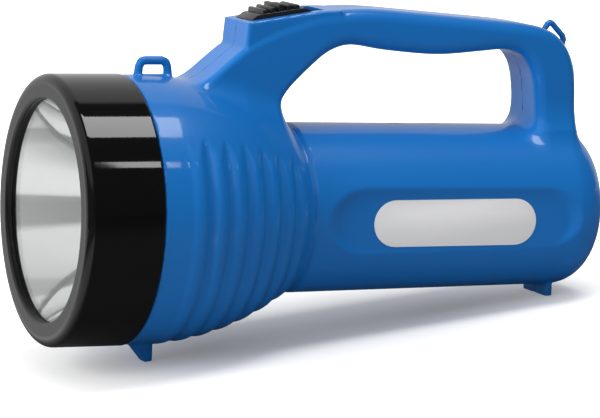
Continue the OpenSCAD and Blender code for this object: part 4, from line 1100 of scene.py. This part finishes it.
# %% Room
AMBIENT, DIM, GLASS_ROOM, FRONT_LOW, FRONT_HIGH = 0.76, 0.05, 0.6, 0.1, 1.0
world = bpy.data.worlds.new("studio")
bpy.context.scene.world = world
world.use_nodes = True
world_tree = world.node_tree
world_tree.nodes.clear()
look = world_tree.nodes.new("ShaderNodeTexCoord").outputs["Generated"]
look_parts = make_node(world_tree, "ShaderNodeSeparateXYZ", {"Vector": look})
room_camera, room_gloss, room_glass = light_paths(world_tree)
front_lift = ramp(world_tree, look_parts.outputs["Z"], 0.38, 0.56, FRONT_LOW, FRONT_HIGH)
front_part = ramp(world_tree, look_parts.outputs["X"], 0.1, 0.35, 0.0, 1.0)
near_dim = ramp(world_tree, room_glass, 0.0, 1.0, DIM, GLASS_ROOM)
front_more = math_node(world_tree, "SUBTRACT", front_lift, near_dim)
near_room = math_node(world_tree, "MULTIPLY_ADD", front_part, front_more, near_dim)
backdrop = ramp(world_tree, look_parts.outputs["Y"], -0.36, -0.26, 1.0, 0.0)
room = math_node(world_tree, "MAXIMUM", near_room, backdrop)
even = ramp(world_tree, look_parts.outputs["X"], -1.0, 0.5, 0.3 * AMBIENT, 1.25 * AMBIENT)
seen_plain = math_node(world_tree, "MAXIMUM", room_camera, room_gloss)
in_view = math_node(world_tree, "MAXIMUM", seen_plain, room_glass)
room_more = math_node(world_tree, "SUBTRACT", room, even)
strength = math_node(world_tree, "MULTIPLY_ADD", in_view, room_more, even)
sky = make_node(world_tree, "ShaderNodeBackground", {"Strength": strength})
make_node(world_tree, "ShaderNodeOutputWorld", {"Surface": sky.outputs["Background"]})
print("room set, ambient", AMBIENT)

# %% [markdown]
# A long soft box hangs overhead, and a slim, weak strip stands on the camera's side. A broad fill lights
# the front, and no gloss or glass shows it.

# %% Lamps


def soft_box(name, place, target, width, height, power):
    """A rectangular soft light that faces a target, in row-frame metres, with its width along the lamp."""
    lamp = bpy.data.lights.new(name, "AREA")
    lamp.shape = "RECTANGLE"
    lamp.size, lamp.size_y, lamp.energy = width, height, power
    holder = bpy.data.objects.new(name, lamp)
    bpy.context.scene.collection.objects.link(holder)
    out = (Vector(place) - Vector(target)).normalized()
    across = Vector((1, 0, 0)) - out * out.x
    across.normalize()
    turned_lamp = Matrix((across, out.cross(across), out)).transposed().to_4x4()
    holder.matrix_world = Matrix.Translation(place) @ turned_lamp
    return holder


soft_box("overhead_box", (-0.32, 0.21, 1.17), (-0.32, 0.21, 0.07), 0.56, 0.45, 7.0)
soft_box("side_strip", (-0.49, 0.895, 0.885), (0.1, 0.05, 0.07), 0.055, 0.11, 0.2)
front_fill = soft_box("front_fill", (1.3, 0.22, 0.6), (0.0, 0.0, 0.07), 0.9, 0.7, 15.0)
front_fill.visible_glossy = False
front_fill.visible_transmission = False
bpy.context.scene.view_settings.view_transform = "Standard"
print("lamps set")
